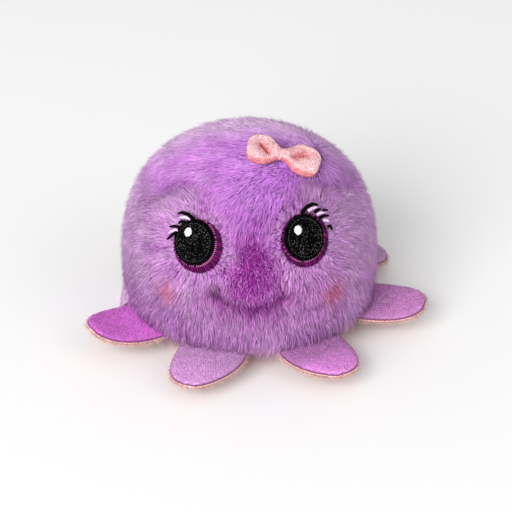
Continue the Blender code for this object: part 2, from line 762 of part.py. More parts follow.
def layer_rings(place, length, thickness, side):
    """Rings of one cloth layer, above the fold plane for side 1 and below it for side -1."""
    rounding = GAP / 2 + thickness
    power = 2 / LAYER_EDGE_POWER
    stations = []
    for step in range(ROOT_STATIONS):
        angle = math.radians(ROOT_WRAP_ANGLE) * (1 - step / ROOT_STATIONS)
        stations.append((-rounding * math.sin(angle), rounding * math.cos(angle) - GAP / 2, 1.0))
    for step in range(TENTACLE_STATIONS):
        share = TIP_SHARE * math.sin(math.pi / 2 * step / (TENTACLE_STATIONS - 1))
        width = (1 - share**TENTACLE_TAPER_POWER) ** (1 / TENTACLE_ROUND_POWER)
        stations.append((length * share, thickness * min(1.0, width / TIP_THIN_SHARE) ** 0.5, width))
    rings = []
    for distance, height, width in stations:
        reach, rise, slope = place(distance)
        ring = []
        for index in range(LAYER_POINTS):
            angle = math.pi * index / (LAYER_POINTS - 1)
            lean = math.cos(angle)
            bulge = math.sin(angle) ** power if 0 < index < LAYER_POINTS - 1 else 0.0
            across = TENTACLE_HALF_WIDTH * width * math.copysign(abs(lean) ** power, lean)
            lift = side * (GAP / 2 + height * bulge)
            ring.append(Vector((reach - lift * math.sin(slope), across, rise + lift * math.cos(slope))))
        rings.append(ring)
    return rings


def add_tentacle(number, shares, parts, top_cloth, under_cloth):
    """One tentacle: a top and an underside layer on an empty that lies on its fold line."""
    azimuth, first, last, bend_from, bend_to, length_share = shares
    angle = math.radians(azimuth)
    outward = Vector((math.sin(angle), -math.cos(angle), 0.0))
    upward = Vector((0.0, 0.0, 1.0))
    frame = Matrix((outward, upward.cross(outward), upward)).transposed().to_4x4()
    frame.translation = outward * (outline_radius(ROOT_HEIGHT) + ROOT_STEP) + upward * ROOT_HEIGHT
    hinge = bpy.data.objects.new(f"tentacle_{number}_hinge", None)
    parts.objects.link(hinge)
    hinge.matrix_world = frame
    length = TENTACLE_LENGTH * length_share
    place = tentacle_path(length, first, last, bend_from, bend_to)
    layers = (
        ("top", TOP_LAYER_THICKNESS, 1, top_cloth),
        ("underside", UNDER_LAYER_THICKNESS, -1, under_cloth),
    )
    for layer, thickness, side, cloth in layers:
        rings = layer_rings(place, length, thickness, side)
        made = add_loft(f"tentacle_{number}_{layer}", rings, parts, cloth)
        made.parent = hinge


def main():
    clear_scene()
    parts = new_collection("plush_octopus")
    cutters = new_collection("cutters")
    materials = {name: new_material(name, *look) for name, look in MATERIALS.items()}
    panels = add_cover(parts, cutters, materials["fur"])
    left_panels = (panels["left_cheek_panel"], panels["crown_panel"])
    right_panels = (panels["right_cheek_panel"], panels["crown_panel"])
    mouth_panels = (panels["left_cheek_panel"], *right_panels)
    add_base(parts, materials["base_cloth"])
    add_seam_band(parts, materials["base_cloth"])
    add_filling(parts, materials["filling"], materials["pouch_cloth"])
    left_eye = (LEFT_EYE_ACROSS, LEFT_EYE_HEIGHT, LEFT_PUPIL_SHIFT)
    right_eye = (RIGHT_EYE_ACROSS, RIGHT_EYE_HEIGHT, RIGHT_PUPIL_SHIFT)
    add_eye("left", *left_eye, left_panels, parts, cutters, materials)
    add_eye("right", *right_eye, right_panels, parts, cutters, materials)
    add_mouth(mouth_panels, parts, cutters, materials["mouth_thread"])
    add_bow(parts, materials["bow_cloth"], materials["bow_thread"])
    for number, shares in enumerate(TENTACLE_SHARES, 1):
        add_tentacle(number, shares, parts, materials["top_cloth"], materials["base_cloth"])
    bpy.context.view_layer.update()


main()
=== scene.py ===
"""Plush octopus: a ball of long-pile cloth with stitched eyes, a bow and eight two-layer tentacles."""

import math

import bmesh
import bpy
import numpy as np
from bpy.props import FloatProperty, FloatVectorProperty, PointerProperty
from mathutils import Matrix, Vector, noise


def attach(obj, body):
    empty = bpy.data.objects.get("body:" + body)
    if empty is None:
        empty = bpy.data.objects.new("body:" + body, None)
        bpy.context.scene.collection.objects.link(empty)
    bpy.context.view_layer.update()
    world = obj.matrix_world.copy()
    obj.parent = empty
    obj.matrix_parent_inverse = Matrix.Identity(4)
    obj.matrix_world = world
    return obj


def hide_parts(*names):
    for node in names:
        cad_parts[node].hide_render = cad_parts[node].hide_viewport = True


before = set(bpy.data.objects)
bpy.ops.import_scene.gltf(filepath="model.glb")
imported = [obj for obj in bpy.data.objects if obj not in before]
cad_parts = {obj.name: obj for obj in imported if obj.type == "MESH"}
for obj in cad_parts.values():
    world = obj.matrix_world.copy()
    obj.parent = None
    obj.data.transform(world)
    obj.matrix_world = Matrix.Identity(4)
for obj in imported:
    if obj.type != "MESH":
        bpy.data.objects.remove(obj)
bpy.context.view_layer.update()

bl_info = {
    "name": "Plush octopus",
    "version": (1, 0, 0),
    "blender": (4, 5, 0),
    "location": "3D View > Sidebar > Plush octopus",
    "description": "Builds the cloth, pile, stitching and stage of a small plush octopus",
    "category": "Add Mesh",
}

# Body outline over the pile, and the seams of the face, as the solids have them
BODY_RADIUS = 0.0436
BODY_HEIGHT = 0.0666
WIDEST_HEIGHT = 0.0175
FOOT_RADIUS = 0.0200
CROWN_POWER = 2.58
BELLY_POWER = 2.23
COVER_RIM = 0.01035
BASE_RIM = 0.00545
FACE_SHIFT = 0.0009
MUZZLE_RISE = 0.0024
MUZZLE_HEIGHT = 0.0375
MUZZLE_HALF_WIDTH = 0.0100
MUZZLE_HALF_HEIGHT = 0.0095
BACK_SEAM = 0.0080
FACE_SEAM_SHARES = (
    (0.0, -0.258), (0.211, -0.017), (0.170, 0.395), (0.264, 0.677), (0.493, 0.753), (0.844, 0.464),
    (1.100, 0.052),
)

# Cover: spacing of its points, and the scale and length of the run in which its cloth is filled
COVER_STEP = 0.0012
CLOTH_SCALE = 20.0
FILL_FRAMES = 20
PANELS = ("crown_panel", "left_cheek_panel", "right_cheek_panel", "left_back_panel", "right_back_panel")

# Eyes: place of each middle and of its pupil
EYES = {"left": (-0.0173, 0.0451, -0.0010), "right": (0.0190, 0.0465, -0.0006)}
IRIS_RADIUS = 0.0087
EYE_CURVE_RADIUS = 0.0420
PUPIL_HALF_WIDTH = 0.0072
PUPIL_HALF_HEIGHT = 0.0075
PUPIL_RISE = 0.0011
GLINT_HALF_WIDTH = 0.00120
GLINT_HALF_HEIGHT = 0.00145
GLINT_RISE = 0.0031
GLINT_SHIFT = -0.0022

# Lashes: strokes as places from each eye's middle, with half widths at both ends, then the pale stitches
# between them
LASHES = {
    "left": (
        (((-0.0012, 0.0088), (-0.0030, 0.0103), (-0.0049, 0.0110), (-0.0063, 0.0107)), (0.00060, 0.00048)),
        (((-0.0042, 0.0080), (-0.0053, 0.0082), (-0.0062, 0.0074)), (0.00040, 0.00036)),
        (((-0.0058, 0.0062), (-0.0074, 0.0066), (-0.0091, 0.0064)), (0.00044, 0.00036)),
        (((-0.0069, 0.0046), (-0.0084, 0.0037), (-0.0100, 0.0023)), (0.00046, 0.00036)),
    ),
    "right": (
        (((-0.0011, 0.0090), (0.0004, 0.0111), (0.0025, 0.0123), (0.0041, 0.0120)), (0.00060, 0.00048)),
        (((0.0031, 0.0095), (0.0040, 0.0102), (0.0050, 0.0107)), (0.00050, 0.00044)),
        (((0.0058, 0.0101), (0.0066, 0.0104), (0.0075, 0.0102)), (0.00036, 0.00032)),
        (((0.0047, 0.0077), (0.0062, 0.0085), (0.0078, 0.0085)), (0.00048, 0.00038)),
        (((0.0074, 0.0048), (0.0084, 0.0053), (0.0090, 0.0039)), (0.00038, 0.00032)),
    ),
}
PALE_STITCHES = {
    "left": (
        ((-0.0024, 0.0089), (-0.0040, 0.0095), (-0.0059, 0.0094)),
        ((-0.0066, 0.0054), (-0.0080, 0.0052), (-0.0094, 0.0044)),
    ),
    "right": (
        ((0.0011, 0.0100), (0.0024, 0.0108), (0.0040, 0.0112)),
        ((0.0040, 0.0089), (0.0053, 0.0094), (0.0065, 0.0096)),
        ((0.0062, 0.0070), (0.0070, 0.0071), (0.0079, 0.0066)),
    ),
}
LASH_SHIFTS = {"left": (0.0007, 0.0001), "right": (-0.0009, -0.0004)}

# Direction in which the photo looks at the face, from a camera this far above the level
PHOTO_TILT = math.radians(31)
SIGHT = Vector((0.0, math.cos(PHOTO_TILT), -math.sin(PHOTO_TILT)))
SIGHT_UP = Vector((0.0, math.sin(PHOTO_TILT), math.cos(PHOTO_TILT)))

# Dents in the pile: places across and up the line of sight, and how wide each is; the pile is shorter there
# and painted darker as shade
DENTS = (
    (((-0.0350, 0.0372), (-0.0270, 0.0367), (-0.0192, 0.0392)), 0.0011),
    (((-0.0206, 0.0446), (-0.0198, 0.0400)), 0.0011),
    (((0.0166, 0.0408), (0.0222, 0.0394), (0.0286, 0.0400)), 0.0013),
    (((0.0262, 0.0398), (0.0240, 0.0424)), 0.0011),
    (((-0.0335, 0.0214), (-0.0268, 0.0190)), 0.0016),
    (((0.0150, 0.0330), (0.0156, 0.0415)), 0.0008),
    (((-0.0310, 0.0030), (-0.0235, -0.0012)), 0.0014),
    (((0.0170, 0.0000), (0.0240, 0.0030)), 0.0014),
)

# Colours of the muzzle and the blush at tip and root, and each blush's place, reach and strength
MUZZLE_COLOURS = ((255, 178, 255), (194, 10, 196))
BLUSH_COLOURS = ((255, 140, 172), (236, 84, 130))
BLUSHES = (
    ((-0.0264, -0.0344, 0.0284), 0.0030, 0.75),
    ((0.0275, -0.0337, 0.0278), 0.0032, 0.9),
)

# Smile
MOUTH_HALF_WIDTH = 0.0124
MOUTH_LOW = 0.0264
MOUTH_RISE = 0.0050
# Corners of the smile, where the pile is painted dark as shade in the dimples
MOUTH_CORNERS = ((-0.0116, -0.0413, 0.0325), (0.0122, -0.0414, 0.0317))

# Bow
BOW_ACROSS = 0.0106
BOW_BACK = -0.0125
BOW_HALF_LENGTH = 0.0113
BOW_TURN = -9.0
BOW_TILT = 20.0
BOW_LOBE_HALF_HEIGHT = 0.0052
BOW_LOBE_HALF_THICKNESS = 0.0024
BOW_PINCH_HALF_HEIGHT = 0.0017
BOW_PINCH_HALF_THICKNESS = 0.0014
BOW_LOBE_SHARE = 0.52
BOW_END_SHARE = 0.985
BOW_CLEARANCE = 0.00045
BOW_SINK = 0.0011
BOW_STITCH_RADIUS = 0.00035
BOW_STATIONS = 84
BOW_POINTS = 64
# Place on the cover where the bow rests, the fold in its right and its left lobe, and the colours of the
# painted highlight on its rim and of the painted shade on its lower side
BOW_REST = (0.0106, -0.0135, 0.0655)
BOW_SLITS = (((0.58, 0.42), (0.33, -0.06)), ((-0.62, 0.30), (-0.38, -0.24)))
BOW_RIM_HIGHLIGHT = (255, 228, 222)
BOW_SIDE_SHADE = (255, 178, 182)

# Tentacles
GAP = 0.0003
ROOT_HEIGHT = 0.0075
ROOT_STEP = 0.0012
TENTACLE_LENGTH = 0.0207
TENTACLE_HALF_WIDTH = 0.0113
TENTACLE_TAPER_POWER = 3.0
TENTACLE_ROUND_POWER = 2.4
TOP_LAYER_THICKNESS = 0.0013
UNDER_LAYER_THICKNESS = 0.0016
ROOT_WRAP_ANGLE = 80.0
TIP_SHARE = 0.992
LAYER_POINTS = 40
# Azimuth of each, first and last slope, where the bend starts and ends, and share of the length
TENTACLE_SHARES = (
    (-58.0, 3.0, 18.0, 0.0, 1.0, 1.0),
    (-16.5, -6.0, 4.0, 0.0, 1.0, 1.0),
    (29.0, -4.0, 7.0, 0.0, 1.0, 1.0),
    (77.0, 2.0, 12.0, 0.0, 1.0, 1.0),
    (123.0, -4.0, -13.0, 0.0, 1.0, 0.74),
    (169.0, -6.0, 2.0, 0.0, 1.0, 1.0),
    (-143.0, -8.0, 0.0, 0.0, 1.0, 1.0),
    (-91.0, -24.0, -176.0, 0.05, 0.57, 0.66),
)
# How the colour of each differs from the top colour, as painted light and shade on each one's nap
TENTACLE_TONES = (
    (1.02, 0.58, 0.98), (1.04, 1.14, 1.04), (1.15, 1.0, 1.12), (1.02, 0.92, 0.96),
    (1.1, 1.4, 1.1), (1.0, 1.0, 1.0), (1.0, 1.0, 1.0), (1.12, 1.5, 1.12),
)
# How much painted shade darkens each near the body (a value below 0 lightens it instead), how far its tip
# turns aside, and how much one side is drawn in
TENTACLE_TURNS = (
    (-0.1, 0.0, 0.0), (0.2, -0.0010, 0.0060), (0.4, 0.0002, -0.0060), (0.15, -0.0010, 0.0),
    (-0.3, 0.0, 0.0), (0.1, 0.0, 0.0), (0.1, 0.0, 0.0), (0.0, 0.0050, 0.0),
)

# Seam allowance and filling
SEAM_HALF_WIDTH = 0.0012
POUCH_RADIUS = 0.0165
POUCH_HEIGHT = 0.0190

# Stage: size of the photo, what its middle looks at and how far that is shifted, and half the floor's side
PHOTO_PIXELS = 512
PIXEL_SIZE = 0.000344
TARGET = Vector((0.0, 0.0, 0.03355))
TARGET_SHIFT = (0.0023, -0.0114)
FLOOR_REACH = 3.0


def linear(colour):
    """Scene colour of red, green and blue from 0 to 255."""
    shares = [part / 255 for part in colour]
    return np.array([
        share / 12.92 if share <= 0.04045 else ((share + 0.055) / 1.055) ** 2.4 for share in shares
    ])


def own_colour(value):
    """Scene colour of a colour property."""
    return linear([255 * part for part in value])


def smooth_step(low, high, values):
    """Smooth rise from 0 to 1 between two limits."""
    share = np.clip((values - low) / (high - low), 0.0, 1.0)
    return share * share * (3 - 2 * share)


def soft_mark(gaps, reach):
    """Mark that is 1 where a gap is 0 and fades out over a reach."""
    return np.exp(-((gaps / reach) ** 2))


def signed_power(value, power):
    """Power of a value's size, with the value's sign."""
    return math.copysign(abs(value) ** power, value)


def step_turn(number, count):
    """Angle of one of several even steps round a circle."""
    return 2 * math.pi * number / count


def hash_share(number):
    """Steady value from 0 to 1 for a number."""
    return (math.sin(number * 12.9898 + 4.1) * 43758.5453) % 1.0


def run_lengths(points):
    """Distance along a line of points up to each of them."""
    return np.concatenate([[0.0], np.cumsum(np.linalg.norm(np.diff(points, axis=0), axis=1))])


def on_line(where, lengths, points):
    """Place on a line of points at a distance along it."""
    return np.array([np.interp(where, lengths, column) for column in points.T])


def unit(directions):
    """Directions of length one."""
    return directions / np.maximum(np.linalg.norm(directions, axis=1, keepdims=True), 1e-9)


# Shape of the body


def outline_radius(height):
    """Radius of the body at a height."""
    if height >= WIDEST_HEIGHT:
        share = min(1.0, (height - WIDEST_HEIGHT) / (BODY_HEIGHT - WIDEST_HEIGHT))
        return BODY_RADIUS * (1 - share**CROWN_POWER) ** (1 / CROWN_POWER)
    share = (WIDEST_HEIGHT - height) / WIDEST_HEIGHT
    return FOOT_RADIUS + (BODY_RADIUS - FOOT_RADIUS) * (1 - share**BELLY_POWER) ** (1 / BELLY_POWER)


def profile_point(turn):
    """Radius and height of the outline: turn 0 is the top, 1 the widest place and 2 the foot's edge."""
    angle = (turn if turn <= 1 else turn - 1) * math.pi / 2
    if turn <= 1:
        reach = max(0.0, math.cos(angle)) ** (2 / CROWN_POWER)
        height = WIDEST_HEIGHT + (BODY_HEIGHT - WIDEST_HEIGHT) * reach
        return BODY_RADIUS * math.sin(angle) ** (2 / CROWN_POWER), height
    reach = max(0.0, math.cos(angle)) ** (2 / BELLY_POWER)
    height = WIDEST_HEIGHT * (1 - math.sin(angle) ** (2 / BELLY_POWER))
    return FOOT_RADIUS + (BODY_RADIUS - FOOT_RADIUS) * reach, height


def even_profile(low, high, step):
    """Radii and heights down the outline between two heights, evenly spaced."""
    points = np.array([profile_point(turn) for turn in np.linspace(0.0, 2.0, 4001)])
    points = points[(points[:, 1] <= high) & (points[:, 1] >= low)]
    lengths = run_lengths(points)
    return on_line(np.linspace(0.0, lengths[-1], max(3, round(lengths[-1] / step) + 1)), lengths, points).T


def muzzle_lift(across, height):
    """How far the face stands forward of the turned body."""
    sideways = (across - FACE_SHIFT) / MUZZLE_HALF_WIDTH
    upward = (height - MUZZLE_HEIGHT) / MUZZLE_HALF_HEIGHT
    return MUZZLE_RISE * np.exp(-(sideways**2) - upward**2)


def outline_normal(radius, height):
    """Outward normal of the outline, as radial and upward parts."""
    if height >= WIDEST_HEIGHT:
        rise = BODY_HEIGHT - WIDEST_HEIGHT
        outward = (radius / BODY_RADIUS) ** (CROWN_POWER - 1) / BODY_RADIUS
        upward = ((height - WIDEST_HEIGHT) / rise) ** (CROWN_POWER - 1) / rise
    else:
        reach = BODY_RADIUS - FOOT_RADIUS
        outward = max(0.0, (radius - FOOT_RADIUS) / reach) ** (BELLY_POWER - 1) / reach
        upward = -(((WIDEST_HEIGHT - height) / WIDEST_HEIGHT) ** (BELLY_POWER - 1)) / WIDEST_HEIGHT
    length = math.hypot(outward, upward)
    return outward / length, upward / length


def face_point(across, height, lift=0.0):
    """Point on the front of the body, raised by a lift, and the outward normal there."""
    radius = outline_radius(height)
    depth = math.sqrt(radius**2 - across**2)
    outward, upward = outline_normal(radius, height)
    normal = Vector((outward * across / radius, -outward * depth / radius, upward))
    point = Vector((across, -depth - float(muzzle_lift(across, height)), height))
    return point + normal * lift, normal


def face_frame(across, height):
    """Frame on the face: X to the viewer's right, Y up along the face, Z out of it."""
    point, normal = face_point(across, height)
    right = Vector((-point.y, point.x, 0.0)).normalized()
    made = Matrix((right, normal.cross(right), normal)).transposed().to_4x4()
    made.translation = point
    return made


def seam_line():
    """Right half of the seam between crown and cheeks, as places across and up."""
    top = BODY_HEIGHT - MUZZLE_HEIGHT
    points = [(BODY_RADIUS * across, MUZZLE_HEIGHT + top * rise) for across, rise in FACE_SEAM_SHARES]
    padded = [points[0], *points, points[-1]]
    line = []
    for before, start, end, after in zip(padded, padded[1:], padded[2:], padded[3:]):
        for step in range(10):
            t = step / 10
            place = []
            for a, b, c, d in zip(before, start, end, after):
                bend = 2 * a - 5 * b + 4 * c - d
                place.append((2 * b + (c - a) * t + bend * t**2 + (3 * b - a - 3 * c + d) * t**3) / 2)
            line.append(place)
    return np.array([*line, points[-1]])


def nearest_on_line(places, line):
    """Nearest point of a line to each place, the distance, and which side the place lies on."""
    starts, steps = line[:-1], np.diff(line, axis=0)
    away = places[:, None, :] - starts[None]
    share = np.clip((away * steps).sum(2) / (steps**2).sum(1), 0.0, 1.0)
    points = starts[None] + share[..., None] * steps[None]
    gaps = np.linalg.norm(places[:, None, :] - points, axis=2)
    best = gaps.argmin(1)
    rows = np.arange(len(places))
    turn = steps[best, 0] * away[rows, best, 1] - steps[best, 1] * away[rows, best, 0]
    return points[rows, best], gaps[rows, best], turn


def panel_numbers(places):
    """Which cover panel each place on the body belongs to, as a place in PANELS."""
    across = places[:, 0] - FACE_SHIFT
    flat = np.stack([np.abs(across), places[:, 2]], axis=1)
    _, _, turn = nearest_on_line(flat, seam_line())
    cheek = np.where(across < 0, 1, 2)
    front = np.where(turn > 0, 0, cheek)
    return np.where(places[:, 1] > BACK_SEAM, np.where(places[:, 0] < 0, 3, 4), front)


# Nodes


def plug(tree, value, socket):
    """Link a socket, or set its value."""
    if isinstance(value, Term):
        value = value.socket
    if isinstance(value, bpy.types.NodeSocket):
        tree.links.new(value, socket)
    elif value is not None:
        socket.default_value = value


def add_node(tree, kind, inputs=None, **settings):
    """Node with its settings and its inputs, which are given by name or place."""
    made = tree.nodes.new(kind)
    for name, value in settings.items():
        setattr(made, name, value)
    for key, value in (inputs or {}).items():
        plug(tree, value, made.inputs[key])
    return made


class Term:
    """Number or vector in a node tree; each sign of arithmetic on it makes one node."""

    def __init__(self, tree, socket, vector=False):
        self.tree, self.socket, self.vector = tree, socket, vector

    def maths(self, operation, *others):
        """Result of a Math node."""
        made = add_node(self.tree, "ShaderNodeMath", dict(enumerate((self, *others))), operation=operation)
        return Term(self.tree, made.outputs[0])

    def vectors(self, operation, other=None, vector=True):
        """Result of a Vector Math node."""
        places = {0: self, 3 if operation == "SCALE" else 1: other}
        made = add_node(self.tree, "ShaderNodeVectorMath", places, operation=operation)
        return Term(self.tree, made.outputs["Vector" if vector else "Value"], vector)

    def reversed(self, operation, other):
        """Result of a Math node that takes this number second."""
        made = add_node(self.tree, "ShaderNodeMath", {0: other, 1: self}, operation=operation)
        return Term(self.tree, made.outputs[0])

    def __add__(self, other):
        return self.vectors("ADD", other) if self.vector else self.maths("ADD", other)

    def __sub__(self, other):
        return self.vectors("SUBTRACT", other) if self.vector else self.maths("SUBTRACT", other)

    def __rsub__(self, other):
        return self.reversed("SUBTRACT", other)

    def __rtruediv__(self, other):
        return self.reversed("DIVIDE", other)

    def __mul__(self, other):
        return self.vectors("SCALE", other) if self.vector else self.maths("MULTIPLY", other)

    def line(self, slope, start):
        """This number times a slope, plus a start."""
        return self.maths("MULTIPLY_ADD", slope, start)

    def dot(self, other):
        """Number that says how far two vectors go the same way."""
        return self.vectors("DOT_PRODUCT", other, vector=False)

    def cross(self, other):
        """Vector square to two vectors."""
        return self.vectors("CROSS_PRODUCT", other)

    def length(self):
        """Length of a vector."""
        return self.vectors("LENGTH", vector=False)

    def unit(self):
        """The same direction, of length one."""
        return self.vectors("NORMALIZE")

    def parts(self):
        """The three parts of a vector."""
        made = add_node(self.tree, "ShaderNodeSeparateXYZ", {0: self})
        return [Term(self.tree, socket) for socket in made.outputs]


def mixed(tree, share, one, other, kind="RGBA"):
    """Mix of two colours or numbers."""
    first, result = {"FLOAT": (2, 0), "RGBA": (6, 2)}[kind]
    made = add_node(tree, "ShaderNodeMix", {0: share, first: one, first + 1: other}, data_type=kind)
    return Term(tree, made.outputs[result], kind == "RGBA")


def shared_group(name, kind, inputs, outputs, build):
    """Node group, made once: named inputs and outputs, and the nodes that a function puts between them."""
    tree = bpy.data.node_groups.get(name)
    if tree:
        return tree
    tree = bpy.data.node_groups.new(name, kind)
    for in_out, sockets in (("INPUT", inputs), ("OUTPUT", outputs)):
        for label, socket, *default in sockets:
            made = tree.interface.new_socket(name=label, in_out=in_out, socket_type="NodeSocket" + socket)
            if default:
                made.default_value = default[0]
    given = tree.nodes.new("NodeGroupInput").outputs
    results = build(tree, {item.name: Term(tree, item, item.type in {"VECTOR", "RGBA"}) for item in given})
    add_node(tree, "NodeGroupOutput", dict(enumerate(results)))
    return tree


def named(tree, name, kind="FLOAT"):
    """Value of a named attribute in a geometry tree."""
    made = add_node(tree, "GeometryNodeInputNamedAttribute", {"Name": name}, data_type=kind)
    return Term(tree, made.outputs[0], kind != "FLOAT")


def stored(tree, geometry, name, value, kind="FLOAT_VECTOR"):
    """Geometry with a value stored on its points."""
    places = {"Geometry": geometry, "Name": name, "Value": value}
    return add_node(tree, "GeometryNodeStoreNamedAttribute", places, data_type=kind).outputs[0]


def finished_geometry(tree, geometry, material):
    """Smooth geometry with its material, as the last two nodes of a tree."""
    smooth = add_node(tree, "GeometryNodeSetShadeSmooth", {"Geometry": geometry}).outputs[0]
    return add_node(tree, "GeometryNodeSetMaterial", {"Geometry": smooth, "Material": material}).outputs[0]


def pile_nodes(tree, given):
    """Nodes that grow pile on a mesh, each strand a bent tapering thread that leans with the nap."""

    def vector(name, kind="FLOAT_VECTOR"):
        return named(tree, name, kind)

    def chance(low, high, offset):
        places = {0: (low,) * 3, 1: (high,) * 3, "Seed": given["Seed"] + offset}
        return add_node(tree, "FunctionNodeRandomValue", places, data_type="FLOAT_VECTOR").outputs[0]

    # Roots, each with what its strand needs to know
    density = given["Strands per Area"] * named(tree, "cover")
    places = {"Mesh": given["Geometry"], "Density": density, "Seed": given["Seed"]}
    scattered = add_node(tree, "GeometryNodeDistributePointsOnFaces", places)
    root = Term(tree, tree.nodes.new("GeometryNodeInputPosition").outputs[0], True)
    places = {"Vector": root, "Scale": 1.0 / given["Tuft Size"]}
    tufts = add_node(tree, "ShaderNodeTexVoronoi", places).outputs
    points = scattered.outputs["Points"]
    for name, value in (
        ("root", root), ("upward", scattered.outputs["Normal"]), ("stray", chance(-1, 1, 11)),
        ("wave", chance(-1, 1, 23)), ("chance", chance(0, 1, 37)),
        ("pull", Term(tree, tufts["Position"], True) - root), ("tuft", tufts["Color"]),
    ):
        points = stored(tree, points, name, value)
    cone = add_node(tree, "GeometryNodeMeshCone", {
        "Vertices": 3, "Side Segments": given["Bends"], "Fill Segments": 1,
        "Radius Top": 0.0, "Radius Bottom": 1.0, "Depth": 1.0,
    })
    corner = tree.nodes.new("GeometryNodeInputPosition").outputs[0]
    strand = stored(tree, cone.outputs["Mesh"], "local", corner)
    copies = add_node(tree, "GeometryNodeInstanceOnPoints", {"Points": points, "Instance": strand})
    mesh = add_node(tree, "GeometryNodeRealizeInstances", {"Geometry": copies.outputs[0]}).outputs[0]

    # Path of the strand: it rises, leans over with the nap, strays, waves and is drawn to its tuft
    x, y, along = vector("local").parts()
    luck = vector("chance").parts()
    length = named(tree, "pile_length") * given["Length Share"] * luck[0].line(0.45, 0.72)
    comb, upward = vector("comb"), vector("upward")
    lean = comb.length()
    nap = (comb - upward * comb.dot(upward)).unit()
    square = along * along
    rise, rise_bend = lean.line(-0.30, 1.0), lean * -0.32
    path = upward * (rise * along + rise_bend * square) + nap * ((along * 0.40 + square * 0.52) * lean)
    path = path + vector("stray") * (square * given["Stray"])
    path = path + vector("wave") * ((along - square) * (given["Wave"] * 4.0))
    pull = vector("pull")
    path = path * length + (pull - upward * pull.dot(upward)) * (given["Tuft Pull"] * square)

    # Round section across the path
    ahead = upward * (rise_bend * along).line(2.0, rise) + nap * (along.line(1.04, 0.40) * lean)
    side = nap.cross(upward).unit()
    over = ahead.unit().cross(side)
    breadth = given["Root Radius"] * luck[1].line(0.5, 0.75) * (along - square).line(2.6, 1.0)
    place = vector("root") + (path + (side * (x * breadth) + over * (y * breadth)))
    moved = add_node(tree, "GeometryNodeSetPosition", {"Geometry": mesh, "Position": place}).outputs[0]

    # Colour from the darker root, painted shade deep in the pile, to the paler tip; some strands stay dark,
    # and some tufts are lighter
    deep = luck[2].maths("LESS_THAN", named(tree, "fleck"))
    fade = along.maths("POWER", named(tree, "fade")) * deep.line(-0.8, 1.0)
    tint = mixed(tree, fade, vector("root_tint", "FLOAT_COLOR"), vector("tip_tint", "FLOAT_COLOR"))
    light = 0.94 - luck[2].maths("POWER", 4.0) * named(tree, "dull")
    light = light + vector("tuft").parts()[0] * 0.16 - deep * 0.30
    tinted = stored(tree, moved, "tint", tint * light, "FLOAT_COLOR")
    return [finished_geometry(tree, tinted, given["Material"])]


def pile_tree():
    """Tree that grows pile on a mesh."""
    return shared_group("pile strands", "GeometryNodeTree", (
        ("Geometry", "Geometry"), ("Strands per Area", "Float", 5.0e6), ("Root Radius", "Float", 0.00015),
        ("Length Share", "Float", 1.0), ("Tuft Size", "Float", 0.0014), ("Tuft Pull", "Float", 0.5),
        ("Stray", "Float", 0.14), ("Wave", "Float", 0.08), ("Seed", "Int", 1), ("Bends", "Int", 2),
        ("Material", "Material"),
    ), (("Geometry", "Geometry"),), pile_nodes)


def thread_nodes(tree, given):
    """Nodes that turn lines of stitches into round thread."""
    line = add_node(tree, "GeometryNodeMeshToCurve", {"Mesh": given["Geometry"]}).outputs[0]
    places = {"Resolution": given["Sides"], "Radius": 1.0}
    ring = add_node(tree, "GeometryNodeCurvePrimitiveCircle", places).outputs[0]
    radius = given["Thread Radius"] * named(tree, "fullness")
    places = {"Curve": line, "Profile Curve": ring, "Scale": radius, "Fill Caps": True}
    tube = add_node(tree, "GeometryNodeCurveToMesh", places).outputs[0]
    tube = add_node(tree, "GeometryNodeRealizeInstances", {"Geometry": tube}).outputs[0]
    return [finished_geometry(tree, tube, given["Material"])]


def thread_tree():
    """Tree that turns lines of stitches into round thread."""
    return shared_group("thread stitches", "GeometryNodeTree", (
        ("Geometry", "Geometry"), ("Thread Radius", "Float", 0.00015), ("Sides", "Int", 5),
        ("Material", "Material"),
    ), (("Geometry", "Geometry"),), thread_nodes)


# Meshes and pieces


def give_values(mesh, **values):
    """Store numbers, directions or colours on a mesh's points."""
    for name, array in values.items():
        array = np.asarray(array, dtype=np.float32)
        if array.ndim == 1:
            made = mesh.attributes.new(name, "FLOAT", "POINT")
            made.data.foreach_set("value", array)
        elif name.endswith("tint"):
            made = mesh.attributes.new(name, "FLOAT_COLOR", "POINT")
            made.data.foreach_set("color", np.concatenate([array, np.ones((len(array), 1))], axis=1).ravel())
        else:
            made = mesh.attributes.new(name, "FLOAT_VECTOR", "POINT")
            made.data.foreach_set("vector", array.ravel())


def without(mesh, *kept):
    """The same mesh with only these values stored on its points."""
    names = [item.name for item in mesh.attributes if not item.is_internal and not item.is_required]
    for name in names:
        if name not in kept and name not in {"sharp_face", "sharp_edge", "material_index"}:
            mesh.attributes.remove(mesh.attributes[name])
    return mesh


def part_of(points, faces, values, chosen):
    """Mesh of the chosen faces with their points' values."""
    faces = [face for face, keep in zip(faces, chosen) if keep]
    used = sorted({corner for face in faces for corner in face})
    places = {corner: place for place, corner in enumerate(used)}
    mesh = bpy.data.meshes.new("patch")
    mesh.from_pydata(points[used].tolist(), [], [[places[corner] for corner in face] for face in faces])
    give_values(mesh, **{name: value[used] for name, value in values.items()})
    mesh.shade_smooth()
    return mesh


def joined(*meshes):
    """One mesh of several."""
    form = bmesh.new()
    for mesh in meshes:
        form.from_mesh(mesh)
    made = meshes[0].copy()
    form.to_mesh(made)
    form.free()
    return made


def facing_outward(mesh):
    """Turn every face of a closed mesh outward."""
    form = bmesh.new()
    form.from_mesh(mesh)
    bmesh.ops.recalc_face_normals(form, faces=form.faces)
    form.to_mesh(mesh)
    form.free()


